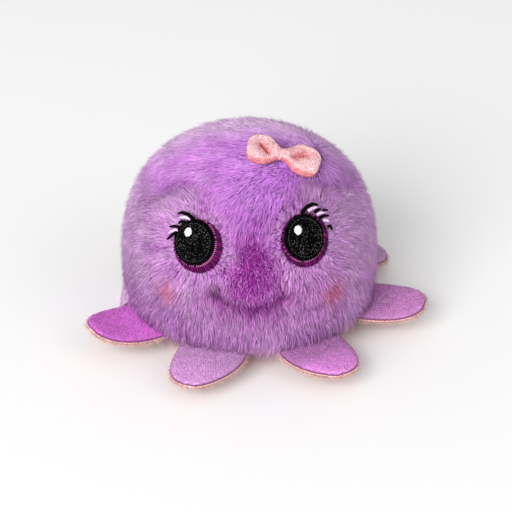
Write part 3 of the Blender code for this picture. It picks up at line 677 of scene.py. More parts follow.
def loft_mesh(rings, **values):
    """Closed mesh through rings of equal point count, each end drawn to its middle."""
    count = len(rings[0])
    points = [point for ring in rings for point in ring]
    points += [np.mean(rings[0], axis=0), np.mean(rings[-1], axis=0)]
    last = (len(rings) - 1) * count
    faces = []
    for one in range(0, last, count):
        for index in range(count):
            after = (index + 1) % count
            faces.append((one + index, one + after, one + count + after, one + count + index))
    for index in range(count):
        after = (index + 1) % count
        faces.append((len(points) - 2, after, index))
        faces.append((len(points) - 1, last + index, last + after))
    mesh = bpy.data.meshes.new("loft")
    mesh.from_pydata([tuple(point) for point in points], [], faces)
    facing_outward(mesh)
    give_values(mesh, **values)
    mesh.shade_smooth()
    return mesh


def round_point(radius, turn, height):
    """Point round the Z axis, with turn 0 at the front."""
    return radius * math.sin(turn), -radius * math.cos(turn), height


def turned_mesh(profile, count):
    """Closed mesh turned about Z from radii and heights that start and end on the axis."""
    turns = [step_turn(index, count) for index in range(count)]
    rings = [[round_point(radius, turn, height) for turn in turns] for radius, height in profile[1:-1]]
    mesh = loft_mesh(rings)
    mesh.vertices[-2].co = (0.0, 0.0, profile[0][1])
    mesh.vertices[-1].co = (0.0, 0.0, profile[-1][1])
    return mesh


def carried(mesh):
    """Helper object in the scene that carries a mesh."""
    made = bpy.data.objects.new("carrier", mesh)
    bpy.context.scene.collection.objects.link(made)
    return made


def evaluated(carrier):
    """Plain mesh of an object with its modifiers; the object itself goes."""
    bpy.context.view_layer.update()
    graph = bpy.context.evaluated_depsgraph_get()
    mesh = bpy.data.meshes.new_from_object(carrier.evaluated_get(graph), depsgraph=graph)
    bpy.data.objects.remove(carrier, do_unlink=True)
    return mesh


def grow(mesh, tree, material, **settings):
    """Plain mesh that a geometry tree makes from a mesh, with its tint."""
    carrier = carried(mesh)
    step = carrier.modifiers.new(tree.name, "NODES")
    step.node_group = tree
    values = {**{key.replace("_", " "): value for key, value in settings.items()}, "Material": material}
    for socket in tree.interface.items_tree:
        if socket.in_out == "INPUT" and socket.name in values:
            step[socket.identifier] = values[socket.name]
    return without(evaluated(carrier), "tint")


def add_piece(name, mesh, material, slot, *replaced, body="body", fill=None):
    """Piece that rides on a body, standing for the solids it replaces, which are hidden; its slot and, when
    padded, its filling are not used.
    """
    made = bpy.data.objects.new(name, mesh)
    bpy.context.scene.collection.objects.link(made)
    mesh.materials.clear()
    mesh.materials.append(material)
    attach(made, body)
    if replaced:
        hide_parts(*replaced)
    return made


def pile_values(tint, comb, cover, root, tip, dull=0.3, fleck=0.25):
    """Values that short pile needs on a mesh: colours, nap, where it grows and how even it is."""
    count = len(tint)
    return {
        "tint": tint, "comb": comb, "cover": cover, "pile_length": np.ones(count),
        "root_tint": tint * root, "tip_tint": tint * tip, "fade": np.full(count, 0.5),
        "dull": np.full(count, dull), "fleck": np.full(count, fleck),
    }


def add_pile(name, mesh, pile, slot, density, depth, seed, body="body", **settings):
    """Short pile that grows on a mesh, as a piece of its own."""
    usual = {
        "Root_Radius": 0.00011, "Tuft_Size": 0.0009, "Tuft_Pull": 0.25, "Stray": 0.25, "Wave": 0.1,
        "Bends": 1,
    }
    share = 1.0
    settings = {**usual, "Strands_per_Area": density * share, "Length_Share": depth, "Seed": seed, **settings}
    return add_piece(name, grow(mesh, pile_tree(), pile, **settings), pile, slot, body=body)


class Stitches:
    """Lines of thread, each with its colour, that become one mesh."""

    def __init__(self, radius, sides=5):
        self.radius, self.sides = radius, sides
        self.points, self.edges, self.tints, self.fullness = [], [], [], []

    def add(self, points, tint, closed=False, fullness=1.0):
        """One line of thread through points."""
        first = len(self.points)
        self.points.extend(tuple(point) for point in points)
        self.edges.extend((place, place + 1) for place in range(first, len(self.points) - 1))
        if closed:
            self.edges.append((len(self.points) - 1, first))
        self.tints.extend([tuple(tint)] * len(points))
        self.fullness.extend([fullness] * len(points))

    def mesh(self, material):
        """Plain mesh of all the thread."""
        lines = bpy.data.meshes.new("lines")
        lines.from_pydata(self.points, self.edges, [])
        give_values(lines, fullness=np.array(self.fullness), tint=np.array(self.tints))
        return grow(lines, thread_tree(), material, Thread_Radius=self.radius, Sides=self.sides)


# Surfaces


def new_surface(name, **values):
    """Material with its tree, its shader and values set on the shader's own sockets."""
    made = bpy.data.materials.new(name)
    made.use_nodes = True
    shader = made.node_tree.nodes["Principled BSDF"]
    for key, value in values.items():
        shader.inputs[key.replace("_", " ").title().replace("Ior", "IOR")].default_value = value
    return made, made.node_tree, shader


def mottle_nodes(tree, given):
    """Soft noise that lightens and darkens a colour."""
    places = {"Vector": given["Place"], "Scale": 1.0 / given["Size"], "Detail": 2.5}
    cloud = add_node(tree, "ShaderNodeTexNoise", places).outputs["Fac"]
    limits = {0: cloud, 1: 0.3, 2: 0.7, 3: given["Low"], 4: given["High"]}
    share = add_node(tree, "ShaderNodeMapRange", limits).outputs[0]
    return given["Tint"] * share, cloud


def knit_nodes(tree, given):
    """Rows of loops of a knitted cloth, a little uneven."""
    places = {"Vector": given["Place"], "Scale": 420.0, "Detail": 1.0}
    wobble = Term(tree, add_node(tree, "ShaderNodeTexNoise", places).outputs["Color"], True) - (0.5, 0.5, 0.5)
    place = given["Place"] + wobble * (given["Pitch"] * 1.1)
    x, y, z = (place * (4.4 / given["Pitch"])).parts()
    rows = [z.line(0.7, y.line(sign, x)).maths("SINE") for sign in (1.0, -1.0)]
    loops = rows[0] * rows[1]
    return given["Tint"] * loops.line(given["Depth"], 1.0), loops.line(0.5, 0.5)


def shared_effect(name, build, *inputs):
    """Shared effect in a shader: it takes a place and a tint, and gives a colour and a height."""
    inputs = (("Place", "Vector"), ("Tint", "Color", (1.0, 1.0, 1.0, 1.0)), *inputs)
    return shared_group(name, "ShaderNodeTree", inputs, (("Color", "Color"), ("Height", "Float")), build)


def mottle(size, low, high):
    """Shared mottle with its values."""
    inputs = (("Size", "Float", 0.001), ("Low", "Float", 0.9), ("High", "Float", 1.1))
    return shared_effect("soft mottle", mottle_nodes, *inputs), {"Size": size, "Low": low, "High": high}


def knit(pitch, depth):
    """Shared knit with its values."""
    inputs = (("Pitch", "Float", 0.001), ("Depth", "Float", 0.2))
    return shared_effect("knitted rows", knit_nodes, *inputs), {"Pitch": pitch, "Depth": depth}


def tinted_surface(name, effects, **values):
    """Material coloured by the stored tint and then by shared effects, with their heights."""
    made, tree, shader = new_surface(name, **values)
    colour = add_node(tree, "ShaderNodeAttribute", attribute_name="tint").outputs["Color"]
    place = tree.nodes.new("ShaderNodeTexCoord").outputs["Object"]
    heights = []
    for group, settings in effects:
        placed = add_node(tree, "ShaderNodeGroup", node_tree=group)
        for key, value in {"Place": place, "Tint": colour, **settings}.items():
            plug(tree, value, placed.inputs[key])
        colour = placed.outputs["Color"]
        heights.append(Term(tree, placed.outputs["Height"]))
    plug(tree, colour, shader.inputs["Base Color"])
    return made, tree, shader, place, colour, heights


def add_bump(tree, shader, strength, distance, height):
    """Bump on a material's shader."""
    bump = add_node(tree, "ShaderNodeBump", {"Strength": strength, "Distance": distance, "Height": height})
    plug(tree, bump.outputs[0], shader.inputs["Normal"])


def pile_surface(name, pitch=0.001, depth=0.0, shine=0.1):
    """Material of soft pile, coloured strand by strand, over a knit where it has a depth."""
    effects = [mottle(0.0052, 0.92, 1.06), mottle(0.0016, 0.90, 1.10)]
    if depth:
        effects.append(knit(pitch, depth))
    return tinted_surface(
        name, effects, Roughness=0.75, Specular_IOR_Level=0.5 * shine, Sheen_Weight=shine,
        Sheen_Roughness=0.4, Sheen_Tint=(0.96, 0.78, 1.0, 1.0),
    )[0]


def velour_surface(name, pitch, depth=0.12):
    """Material of short-pile cloth: mottled pile over the rows of the knit."""
    effects = [mottle(0.0004, 0.84, 1.10), mottle(0.0024, 0.92, 1.06), knit(pitch, depth)]
    values = {"Roughness": 0.8, "Sheen_Weight": 0.2, "Specular_IOR_Level": 0.15}
    made, tree, shader, _, _, (fine, _, rows) = tinted_surface(name, effects, **values)
    add_bump(tree, shader, 0.6, 0.00015, rows.line(0.5, fine))
    return made


def thread_surface(name, roughness, shine, specular=0.3, glint_strength=0.0):
    """Material of embroidery thread, coloured stitch by stitch, with the twist of the thread, and grey glints
    painted on where a glint strength is given.
    """
    values = {"Roughness": roughness, "Sheen_Weight": shine, "Specular_IOR_Level": specular}
    made, tree, shader, place, colour, heights = tinted_surface(name, [mottle(0.0002, 0.75, 1.25)], **values)
    if glint_strength:
        # Painted glints: grey specks mixed over the thread's colour
        places = {"Vector": place, "Scale": 3900.0, "Detail": 0.0}
        glint_mask = add_node(tree, "ShaderNodeTexNoise", places).outputs["Fac"]
        limits = {0: glint_mask, 1: 0.60, 2: 0.74, 3: 0.0, 4: glint_strength}
        glint_mask = add_node(tree, "ShaderNodeMapRange", limits).outputs[0]
        plug(tree, mixed(tree, glint_mask, colour, (0.30, 0.29, 0.31, 1.0)), shader.inputs["Base Color"])
    add_bump(tree, shader, 0.4, 0.00006, heights[0])
    return made


# Cover


def body_mesh(step):
    """Fine turned mesh of the body's outline, down to the cover's rim, with the muzzle raised."""
    profile = even_profile(COVER_RIM, BODY_HEIGHT, step)
    count = 2 * round(math.pi * BODY_RADIUS / step)
    turns = np.arange(count) * 2 * math.pi / count
    rows = profile[1:]
    ring = np.stack([np.sin(turns), -np.cos(turns)], axis=1)
    around = rows[:, None, :1] * ring[None]
    heights = np.broadcast_to(rows[:, None, 1:], (len(rows), count, 1))
    points = np.concatenate([around, heights], axis=2).reshape(-1, 3)
    points = np.concatenate([[[0.0, 0.0, BODY_HEIGHT]], points])
    front = points[:, 1] < 0
    points[front, 1] -= muzzle_lift(points[front, 0], points[front, 2])
    faces = []
    for column in range(count):
        after = (column + 1) % count
        faces.append((0, 1 + column, 1 + after))
        for row in range(len(rows) - 1):
            high, low = 1 + row * count, 1 + (row + 1) * count
            faces.append((high + column, low + column, low + after, high + after))
    return points, faces


def normals_of(points, faces):
    """Outward vertex normals of a closed or open surface round the body's axis."""
    mesh = bpy.data.meshes.new("surface")
    mesh.from_pydata(np.asarray(points).tolist(), [], faces)
    normals = np.empty(len(points) * 3)
    mesh.vertex_normals.foreach_get("vector", normals)
    bpy.data.meshes.remove(mesh)
    return normals.reshape(-1, 3)


def panels_met(faces, numbers):
    """Panels that meet at each point of the cover."""
    met = {}
    for face, number in zip(faces, numbers):
        for corner in face:
            met.setdefault(corner, set()).add(int(number))
    return met


def snap_to_seams(points, faces):
    """Move the points between two panels onto the seam, and give each face its panel."""
    numbers = panel_numbers(np.array([points[list(face)].mean(0) for face in faces]))
    line = seam_line()
    for corner, panels in panels_met(faces, numbers).items():
        if len(panels) < 2:
            continue
        across, back, height = points[corner]
        radius = math.hypot(across, back)
        if panels & {3, 4} and panels & {0, 1, 2}:
            width = math.sqrt(max(0.0, radius**2 - BACK_SEAM**2))
            points[corner] = (math.copysign(width, across), BACK_SEAM, height)
        elif panels == {3, 4}:
            points[corner] = (0.0, radius, height)
        elif panels == {1, 2}:
            points[corner, 0] = FACE_SHIFT
        else:
            near = nearest_on_line(np.array([[abs(across - FACE_SHIFT), height]]), line)[0][0]
            placed = FACE_SHIFT + (1 if across > FACE_SHIFT else -1) * near[0]
            round_radius = outline_radius(near[1])
            if abs(placed) < round_radius:
                depth = math.sqrt(round_radius**2 - placed**2)
                lift = float(muzzle_lift(placed, near[1])) if back < 0 else 0.0
                points[corner] = (placed, math.copysign(depth, back) - lift, near[1])
    return numbers


def stuffed(points, faces, held, pressure, most):
    """Points of the cover after its cloth is filled: it swells where seams and stitches don't hold it."""
    mesh = bpy.data.meshes.new("stuffed cover")
    mesh.from_pydata((points * CLOTH_SCALE).tolist(), [], faces)
    item = carried(mesh)
    group = item.vertex_groups.new(name="held")
    for index in np.nonzero(held > 0.01)[0]:
        group.add([int(index)], float(held[index]), "REPLACE")
    cloth = item.modifiers.new("Cloth", "CLOTH")
    settings = cloth.settings
    settings.quality = 6
    settings.use_pressure = True
    settings.uniform_pressure_force = pressure
    settings.vertex_group_mass = "held"
    settings.effector_weights.gravity = 0.0
    cloth.point_cache.frame_start, cloth.point_cache.frame_end = 1, FILL_FRAMES
    scene = bpy.context.scene
    for frame_number in range(1, FILL_FRAMES + 1):
        scene.frame_set(frame_number)
    places = np.empty(len(points) * 3)
    item.evaluated_get(bpy.context.evaluated_depsgraph_get()).data.vertices.foreach_get("co", places)
    scene.frame_set(1)
    bpy.data.objects.remove(item, do_unlink=True)
    bpy.data.meshes.remove(mesh)
    moved = places.reshape(-1, 3) / CLOTH_SCALE - points
    reach = np.linalg.norm(moved, axis=1, keepdims=True)
    return points + moved * np.minimum(1.0, most / np.maximum(reach, 1e-9))


def laid(directions, normals):
    """Directions laid along a surface."""
    return directions - (directions * normals).sum(1, keepdims=True) * normals


def eye_places(points, side):
    """Places of points in an eye's frame."""
    across, height, _ = EYES[side]
    turned = np.array(face_frame(across, height).inverted())
    return points @ turned[:3, :3].T + turned[:3, 3]


def muzzle_share(points):
    """How far each point belongs to the curly muzzle."""
    across, _, height = points.T
    half_width = 0.0116 - 0.40 * np.maximum(0.0, height - 0.0370)
    ragged = 0.10 * np.sin(across * 1900 + 1.0) * np.sin(height * 1500)
    ragged = ragged + 0.06 * np.sin(across * 3300 + height * 2100)
    sideways, upward = (across - FACE_SHIFT - 0.0010) / half_width, (height - 0.0388) / 0.0130
    share = 1 - smooth_step(0.66, 1.14, np.hypot(sideways, upward) + ragged)
    return np.where(points[:, 1] < 0, share, 0.0)


def bridge_share(points):
    """How far each point belongs to the darker wedge between the eyes."""
    across, back, height = points.T
    share = soft_mark(across - FACE_SHIFT, 0.0052 + 0.20 * np.maximum(0.0, height - 0.044))
    return share * smooth_step(0.030, 0.040, height) * (1 - smooth_step(0.046, 0.062, height)) * (back < 0.0)


def crown_share(points):
    """How far each point belongs to the top of the crown panel."""
    return (panel_numbers(points) == 0) * smooth_step(0.044, 0.056, points[:, 2])


def mouth_gap(points):
    """Distance of each point from the smile, and how far below it the point is."""
    share = np.linspace(-1.0, 1.0, 41)
    line = np.stack([FACE_SHIFT + MOUTH_HALF_WIDTH * share, MOUTH_LOW + MOUTH_RISE * share**2], axis=1)
    _, gap, turn = nearest_on_line(points[:, [0, 2]], line)
    gap = np.where(points[:, 1] < 0, gap, 1.0)
    return gap, np.where(turn < 0, gap, -gap)


def near_spot(points, spot, reach):
    """Soft mark round a spot, 1 in its middle."""
    return soft_mark(np.linalg.norm(points - np.array(spot), axis=1), reach)


def dents(points):
    """How deep each point lies in a dent of the pile on the front."""
    seen = np.stack([points[:, 0], points @ np.array(SIGHT_UP)], axis=1)
    deep = np.zeros(len(points))
    for line, reach in DENTS:
        deep = np.maximum(deep, soft_mark(nearest_on_line(seen, np.array(line))[1], reach))
    return deep * smooth_step(0.004, 0.014, -points[:, 1])


def brow_seam(points):
    """How near each point is to the seam over the brows."""
    flat = np.stack([np.abs(points[:, 0] - FACE_SHIFT), points[:, 2]], axis=1)
    gap = nearest_on_line(flat, seam_line())[1]
    return soft_mark(gap, 0.0015) * smooth_step(0.049, 0.056, points[:, 2]) * (points[:, 1] < 0.0)


def held_share(points, faces, numbers):
    """How firmly seams, the rim and the stitching of the face hold each point of the cover."""
    met = panels_met(faces, numbers)
    held = np.array([float(len(met[corner]) > 1) for corner in range(len(points))])
    held = np.maximum(held, 1 - smooth_step(COVER_RIM + 0.0006, COVER_RIM + 0.0040, points[:, 2]))
    for side in EYES:
        place = eye_places(points, side)
        near = 1 - smooth_step(IRIS_RADIUS + 0.0030, IRIS_RADIUS + 0.0065, np.hypot(place[:, 0], place[:, 1]))
        held = np.maximum(held, np.where(place[:, 2] > -0.020, near, 0.0))
    held = np.maximum(held, 1 - smooth_step(0.0010, 0.0030, mouth_gap(points)[0]))
    return np.maximum(held, near_spot(points, BOW_REST, 0.0120))


def brushed(points, normals):
    """Nap, length and density of the pile at each point, and how far it belongs to the muzzle."""
    across, back, height = points.T
    crown = (soft_mark(np.hypot(across, back), 0.029) * smooth_step(0.03, 0.05, height))[:, None]
    nap = laid(np.broadcast_to([0.0, 0.0, -1.0], points.shape), normals)
    nap = unit(nap + laid(np.broadcast_to([-1.0, -0.2, 0.0], points.shape), normals) * crown)
    length = np.full(len(points), 0.0062)
    cover = np.where(back > 0.012, 0.8, 1.2)
    on_crown = panel_numbers(points) == 0

    # Round each eye the pile is combed outwards, shorter, and gone under the patch
    for side, sign in (("left", -1), ("right", 1)):
        place = eye_places(points, side)
        distance = np.hypot(place[:, 0], place[:, 1])
        outer = smooth_step(-0.004, 0.010, sign * place[:, 0])
        lower = smooth_step(0.002, 0.010, -place[:, 1])
        reach = np.where(on_crown, 0.0034, 0.0100 + 0.0080 * outer + 0.0040 * lower * outer)
        share = soft_mark(np.maximum(0.0, distance - IRIS_RADIUS), reach)
        share = np.where(place[:, 2] > -0.030, share, 0.0)[:, None]
        axes = np.array(face_frame(*EYES[side][:2]))[:3, :3]
        radial = place[:, :1] * axes[:, 0] + place[:, 1:2] * axes[:, 1]
        nap = nap * (1 - share) + unit(laid(radial, normals)) * share
        rim = smooth_step(0.0, 0.0065, distance - IRIS_RADIUS)
        front = place[:, 2] > -0.012
        length = np.where(front, np.minimum(length, 0.0032 + 0.0030 * rim), length)
        cover = np.where(front & (distance < IRIS_RADIUS - 0.0004), 0.0, cover)

    # Shorter on the muzzle, along the smile and in the dents, longer over the front rim
    muzzle = muzzle_share(points)
    top = smooth_step(0.052, 0.062, height)
    length = length * (1 - 0.50 * muzzle)
    length = length * (1 - 0.35 * soft_mark(mouth_gap(points)[0], 0.0022))
    length = length * (1 - 0.35 * np.maximum(brow_seam(points), dents(points)))
    length = length * (1 - 0.15 * top)
    length = length + np.where(back < -0.012, 0.0026, -0.0016) * (1 - smooth_step(0.011, 0.021, height))
    length = length * (1 - 0.70 * near_spot(points, BOW_REST, 0.0066))
    cover = cover * (1 - 0.35 * (1 - smooth_step(0.0108, 0.0130, height)))
    lean = 0.90 - 0.45 * muzzle + 0.06 * top
    swirl = np.stack([
        np.sin(back * 410 + height * 260) + np.sin(height * 730 + 1.3),
        np.sin(across * 380 + height * 340 + 2.1) + np.sin(across * 690 + 0.4),
        np.sin(across * 450 + back * 300 + 4.2) + np.sin(back * 640 + 2.9),
    ], axis=1)
    nap = unit(nap + laid(swirl, normals) * 0.17)
    return nap * lean[:, None], length, cover, muzzle


def tinted(points, tip_colour, root_colour):
    """Colours of the pile at its root and its tip at each point, with painted light and shade laid over its
    own colours.
    """
    across, back, height = points.T
    muzzle = muzzle_share(points)
    gap, under = mouth_gap(points)
    front = back < 0.0
    waves = np.array([
        noise.noise(Vector(point) * 170.0) + 0.6 * noise.noise(Vector(point) * 420.0) for point in points
    ])
    crown = crown_share(points) * (0.5 + 0.5 * smooth_step(-0.02, 0.012, across))
    top_back_highlight = smooth_step(-0.008, 0.014, back) * smooth_step(0.052, 0.062, height)
    smile_crease_shade = soft_mark(gap - 0.0004, 0.0017)
    corners = sum(near_spot(points, spot, 0.0019) for spot in MOUTH_CORNERS)
    tip = np.tile(tip_colour, (len(points), 1))
    root = np.tile(root_colour, (len(points), 1))
    for share, tip_tint, root_tint in (
        (0.55 * smooth_step(0.05, 0.6, waves), (255, 226, 255), (240, 184, 246)),
        (0.50 * smooth_step(0.05, 0.6, -waves), (240, 144, 244), (182, 78, 198)),
        (0.6 * crown, (234, 150, 255), (208, 106, 246)),
        # Painted highlight: paler pile over the top of the back
        (0.85 * top_back_highlight, (255, 228, 255), (246, 196, 254)),
        # Painted highlight: paler pile along the left side
        (0.5 * smooth_step(0.026, 0.038, -across), (255, 226, 255), (240, 190, 250)),
        # Painted light: a paler, greyer tone over the right side
        (0.5 * (smooth_step(0.010, 0.034, across) * (back < 0.02)), (255, 214, 255), (222, 160, 238)),
        # Painted shade: darker pile low on the front
        (0.6 * ((1 - smooth_step(0.018, 0.030, height)) * front), (244, 184, 250), (204, 124, 216)),
        (0.75 * bridge_share(points), (252, 128, 252), (164, 24, 176)),
        (muzzle, *MUZZLE_COLOURS),
        # Painted shade in the dents and along the seam over the brows
        (0.5 * np.maximum(brow_seam(points), dents(points)), (214, 124, 228), (134, 48, 152)),
        (0.7 * (soft_mark(under + 0.0030, 0.0014) * muzzle), (255, 196, 255), (222, 110, 228)),
        # Painted shade deep in the crease of the smile
        (0.9 * smile_crease_shade, (184, 44, 178), (104, 0, 108)),
        # Painted shade under the smile
        (0.45 * (soft_mark(under - 0.0026, 0.0026) * (1 - smile_crease_shade)), (232, 130, 226), (165, 60, 170)),
        # Painted shade in the dimples at the corners of the smile
        (0.95 * np.minimum(1.0, 1.3 * corners), (148, 34, 148), (88, 0, 94)),
        # Painted shade low on the right cheek
        (0.45 * near_spot(points, (0.0235, -0.0355, 0.0300), 0.0110), (232, 140, 232), (166, 64, 172)),
        *((strength * near_spot(points, spot, reach), *BLUSH_COLOURS) for spot, reach, strength in BLUSHES),
    ):
        share = share[:, None]
        tip = tip * (1 - share) + linear(tip_tint) * share
        root = root * (1 - share) + linear(root_tint) * share
    return root, tip


class OCTOPUS_PG_cover(bpy.types.PropertyGroup):
    """Sizes and colours of the pile."""

    strands: FloatProperty(
        name="Strands", description="Strands for each square millimetre", default=8.0, min=0.5,
    )
    root_radius: FloatProperty(
        name="Root radius", description="Radius of a strand at its root", default=0.000115, unit="LENGTH",
        precision=5,
    )
    pile_depth: FloatProperty(
        name="Pile depth", description="Depth of the skin below the tips", default=0.0024, unit="LENGTH",
        precision=5,
    )
    skin_thickness: FloatProperty(
        name="Skin thickness", description="Thickness of the backing cloth", default=0.0020, unit="LENGTH",
        precision=5,
    )
    pressure: FloatProperty(
        name="Pressure", description="Push of the filling on the cloth", default=40.0, min=0.0,
    )
    swell: FloatProperty(
        name="Swell", description="Most that the cloth moves when it is filled", default=0.0009,
        unit="LENGTH", precision=5,
    )
    tip: FloatVectorProperty(
        name="Tip colour", description="Colour at the tips", default=(1.0, 0.78, 1.0), subtype="COLOR_GAMMA",
    )
    root: FloatVectorProperty(
        name="Root colour", description="Colour at the roots", default=(0.91, 0.58, 0.96),
        subtype="COLOR_GAMMA",
    )


class OCTOPUS_OT_cover(bpy.types.Operator):
    """Sew the five cover panels and grow their pile"""

    bl_idname = "octopus.cover"
    bl_label = "Cover and pile"

    def execute(self, context):
        sizes = context.scene.octopus_cover
        points, faces = body_mesh(COVER_STEP)
        numbers = snap_to_seams(points, faces)
        if normals_of(points, faces)[0, 2] < 0:
            faces = [tuple(reversed(face)) for face in faces]
        points = stuffed(points, faces, held_share(points, faces, numbers), sizes.pressure, sizes.swell)
        normals = normals_of(points, faces)
        nap, length, cover, muzzle = brushed(points, normals)
        bridge = bridge_share(points)
        root_tint, tip_tint = tinted(points, own_colour(sizes.tip), own_colour(sizes.root))
        depth = sizes.pile_depth + 0.0008 * soft_mark(mouth_gap(points)[0], 0.0016)
        skin = points - normals * depth[:, None]
        values = {
            "comb": nap, "pile_length": length, "cover": cover, "tint": root_tint * 1.05,
            "root_tint": root_tint, "tip_tint": tip_tint, "dull": 0.45 - 0.2 * crown_share(points),
            "fade": 0.5 + np.maximum(0.5 * bridge, 0.6 * muzzle),
            "fleck": 0.12 + 0.24 * bridge + 0.42 * muzzle,
        }
        pile, curls = pile_surface("lilac pile"), pile_surface("muzzle pile", shine=0.02)
        backing = velour_surface("lilac backing", 0.0012)
        strands = sizes.strands * 1e6 * 1.0
        curly = muzzle_share(np.array([points[list(face)].mean(0) for face in faces])) > 0.5
        for number, name in enumerate(PANELS):
            carrier = carried(part_of(skin, faces, values, numbers == number))
            wall = carrier.modifiers.new("Wall", "SOLIDIFY")
            wall.thickness, wall.offset = sizes.skin_thickness, -1.0
            skin_mesh = without(evaluated(carrier), "tint")
            add_piece(name.replace("panel", "skin"), skin_mesh, backing, "fur", name, fill=0.85)
            # Upper and lower strands, each half of them
            for layer, share, seed in (("", 1.0, 3), ("_under", 0.74, 7)):
                patch = part_of(skin, faces, values, (numbers == number) & ~curly)
                grown = grow(
                    patch, pile_tree(), pile, Strands_per_Area=strands * 0.5, Length_Share=share,
                    Seed=seed + number * 17, Root_Radius=sizes.root_radius, Tuft_Size=0.0024,
                    Tuft_Pull=0.22 if number == 0 else 0.62,
                )
                add_piece(name.replace("panel", "pile") + layer, grown, pile, "fur")
        grown = grow(
            part_of(skin, faces, values, curly), pile_tree(), curls, Strands_per_Area=strands * 1.15,
            Length_Share=1.0, Seed=91, Root_Radius=sizes.root_radius * 1.75, Tuft_Size=0.0009,
            Tuft_Pull=0.85, Stray=0.34, Wave=0.2,
        )
        add_piece("muzzle_pile", grown, curls, "fur")
        return {"FINISHED"}


# Eyes and smile


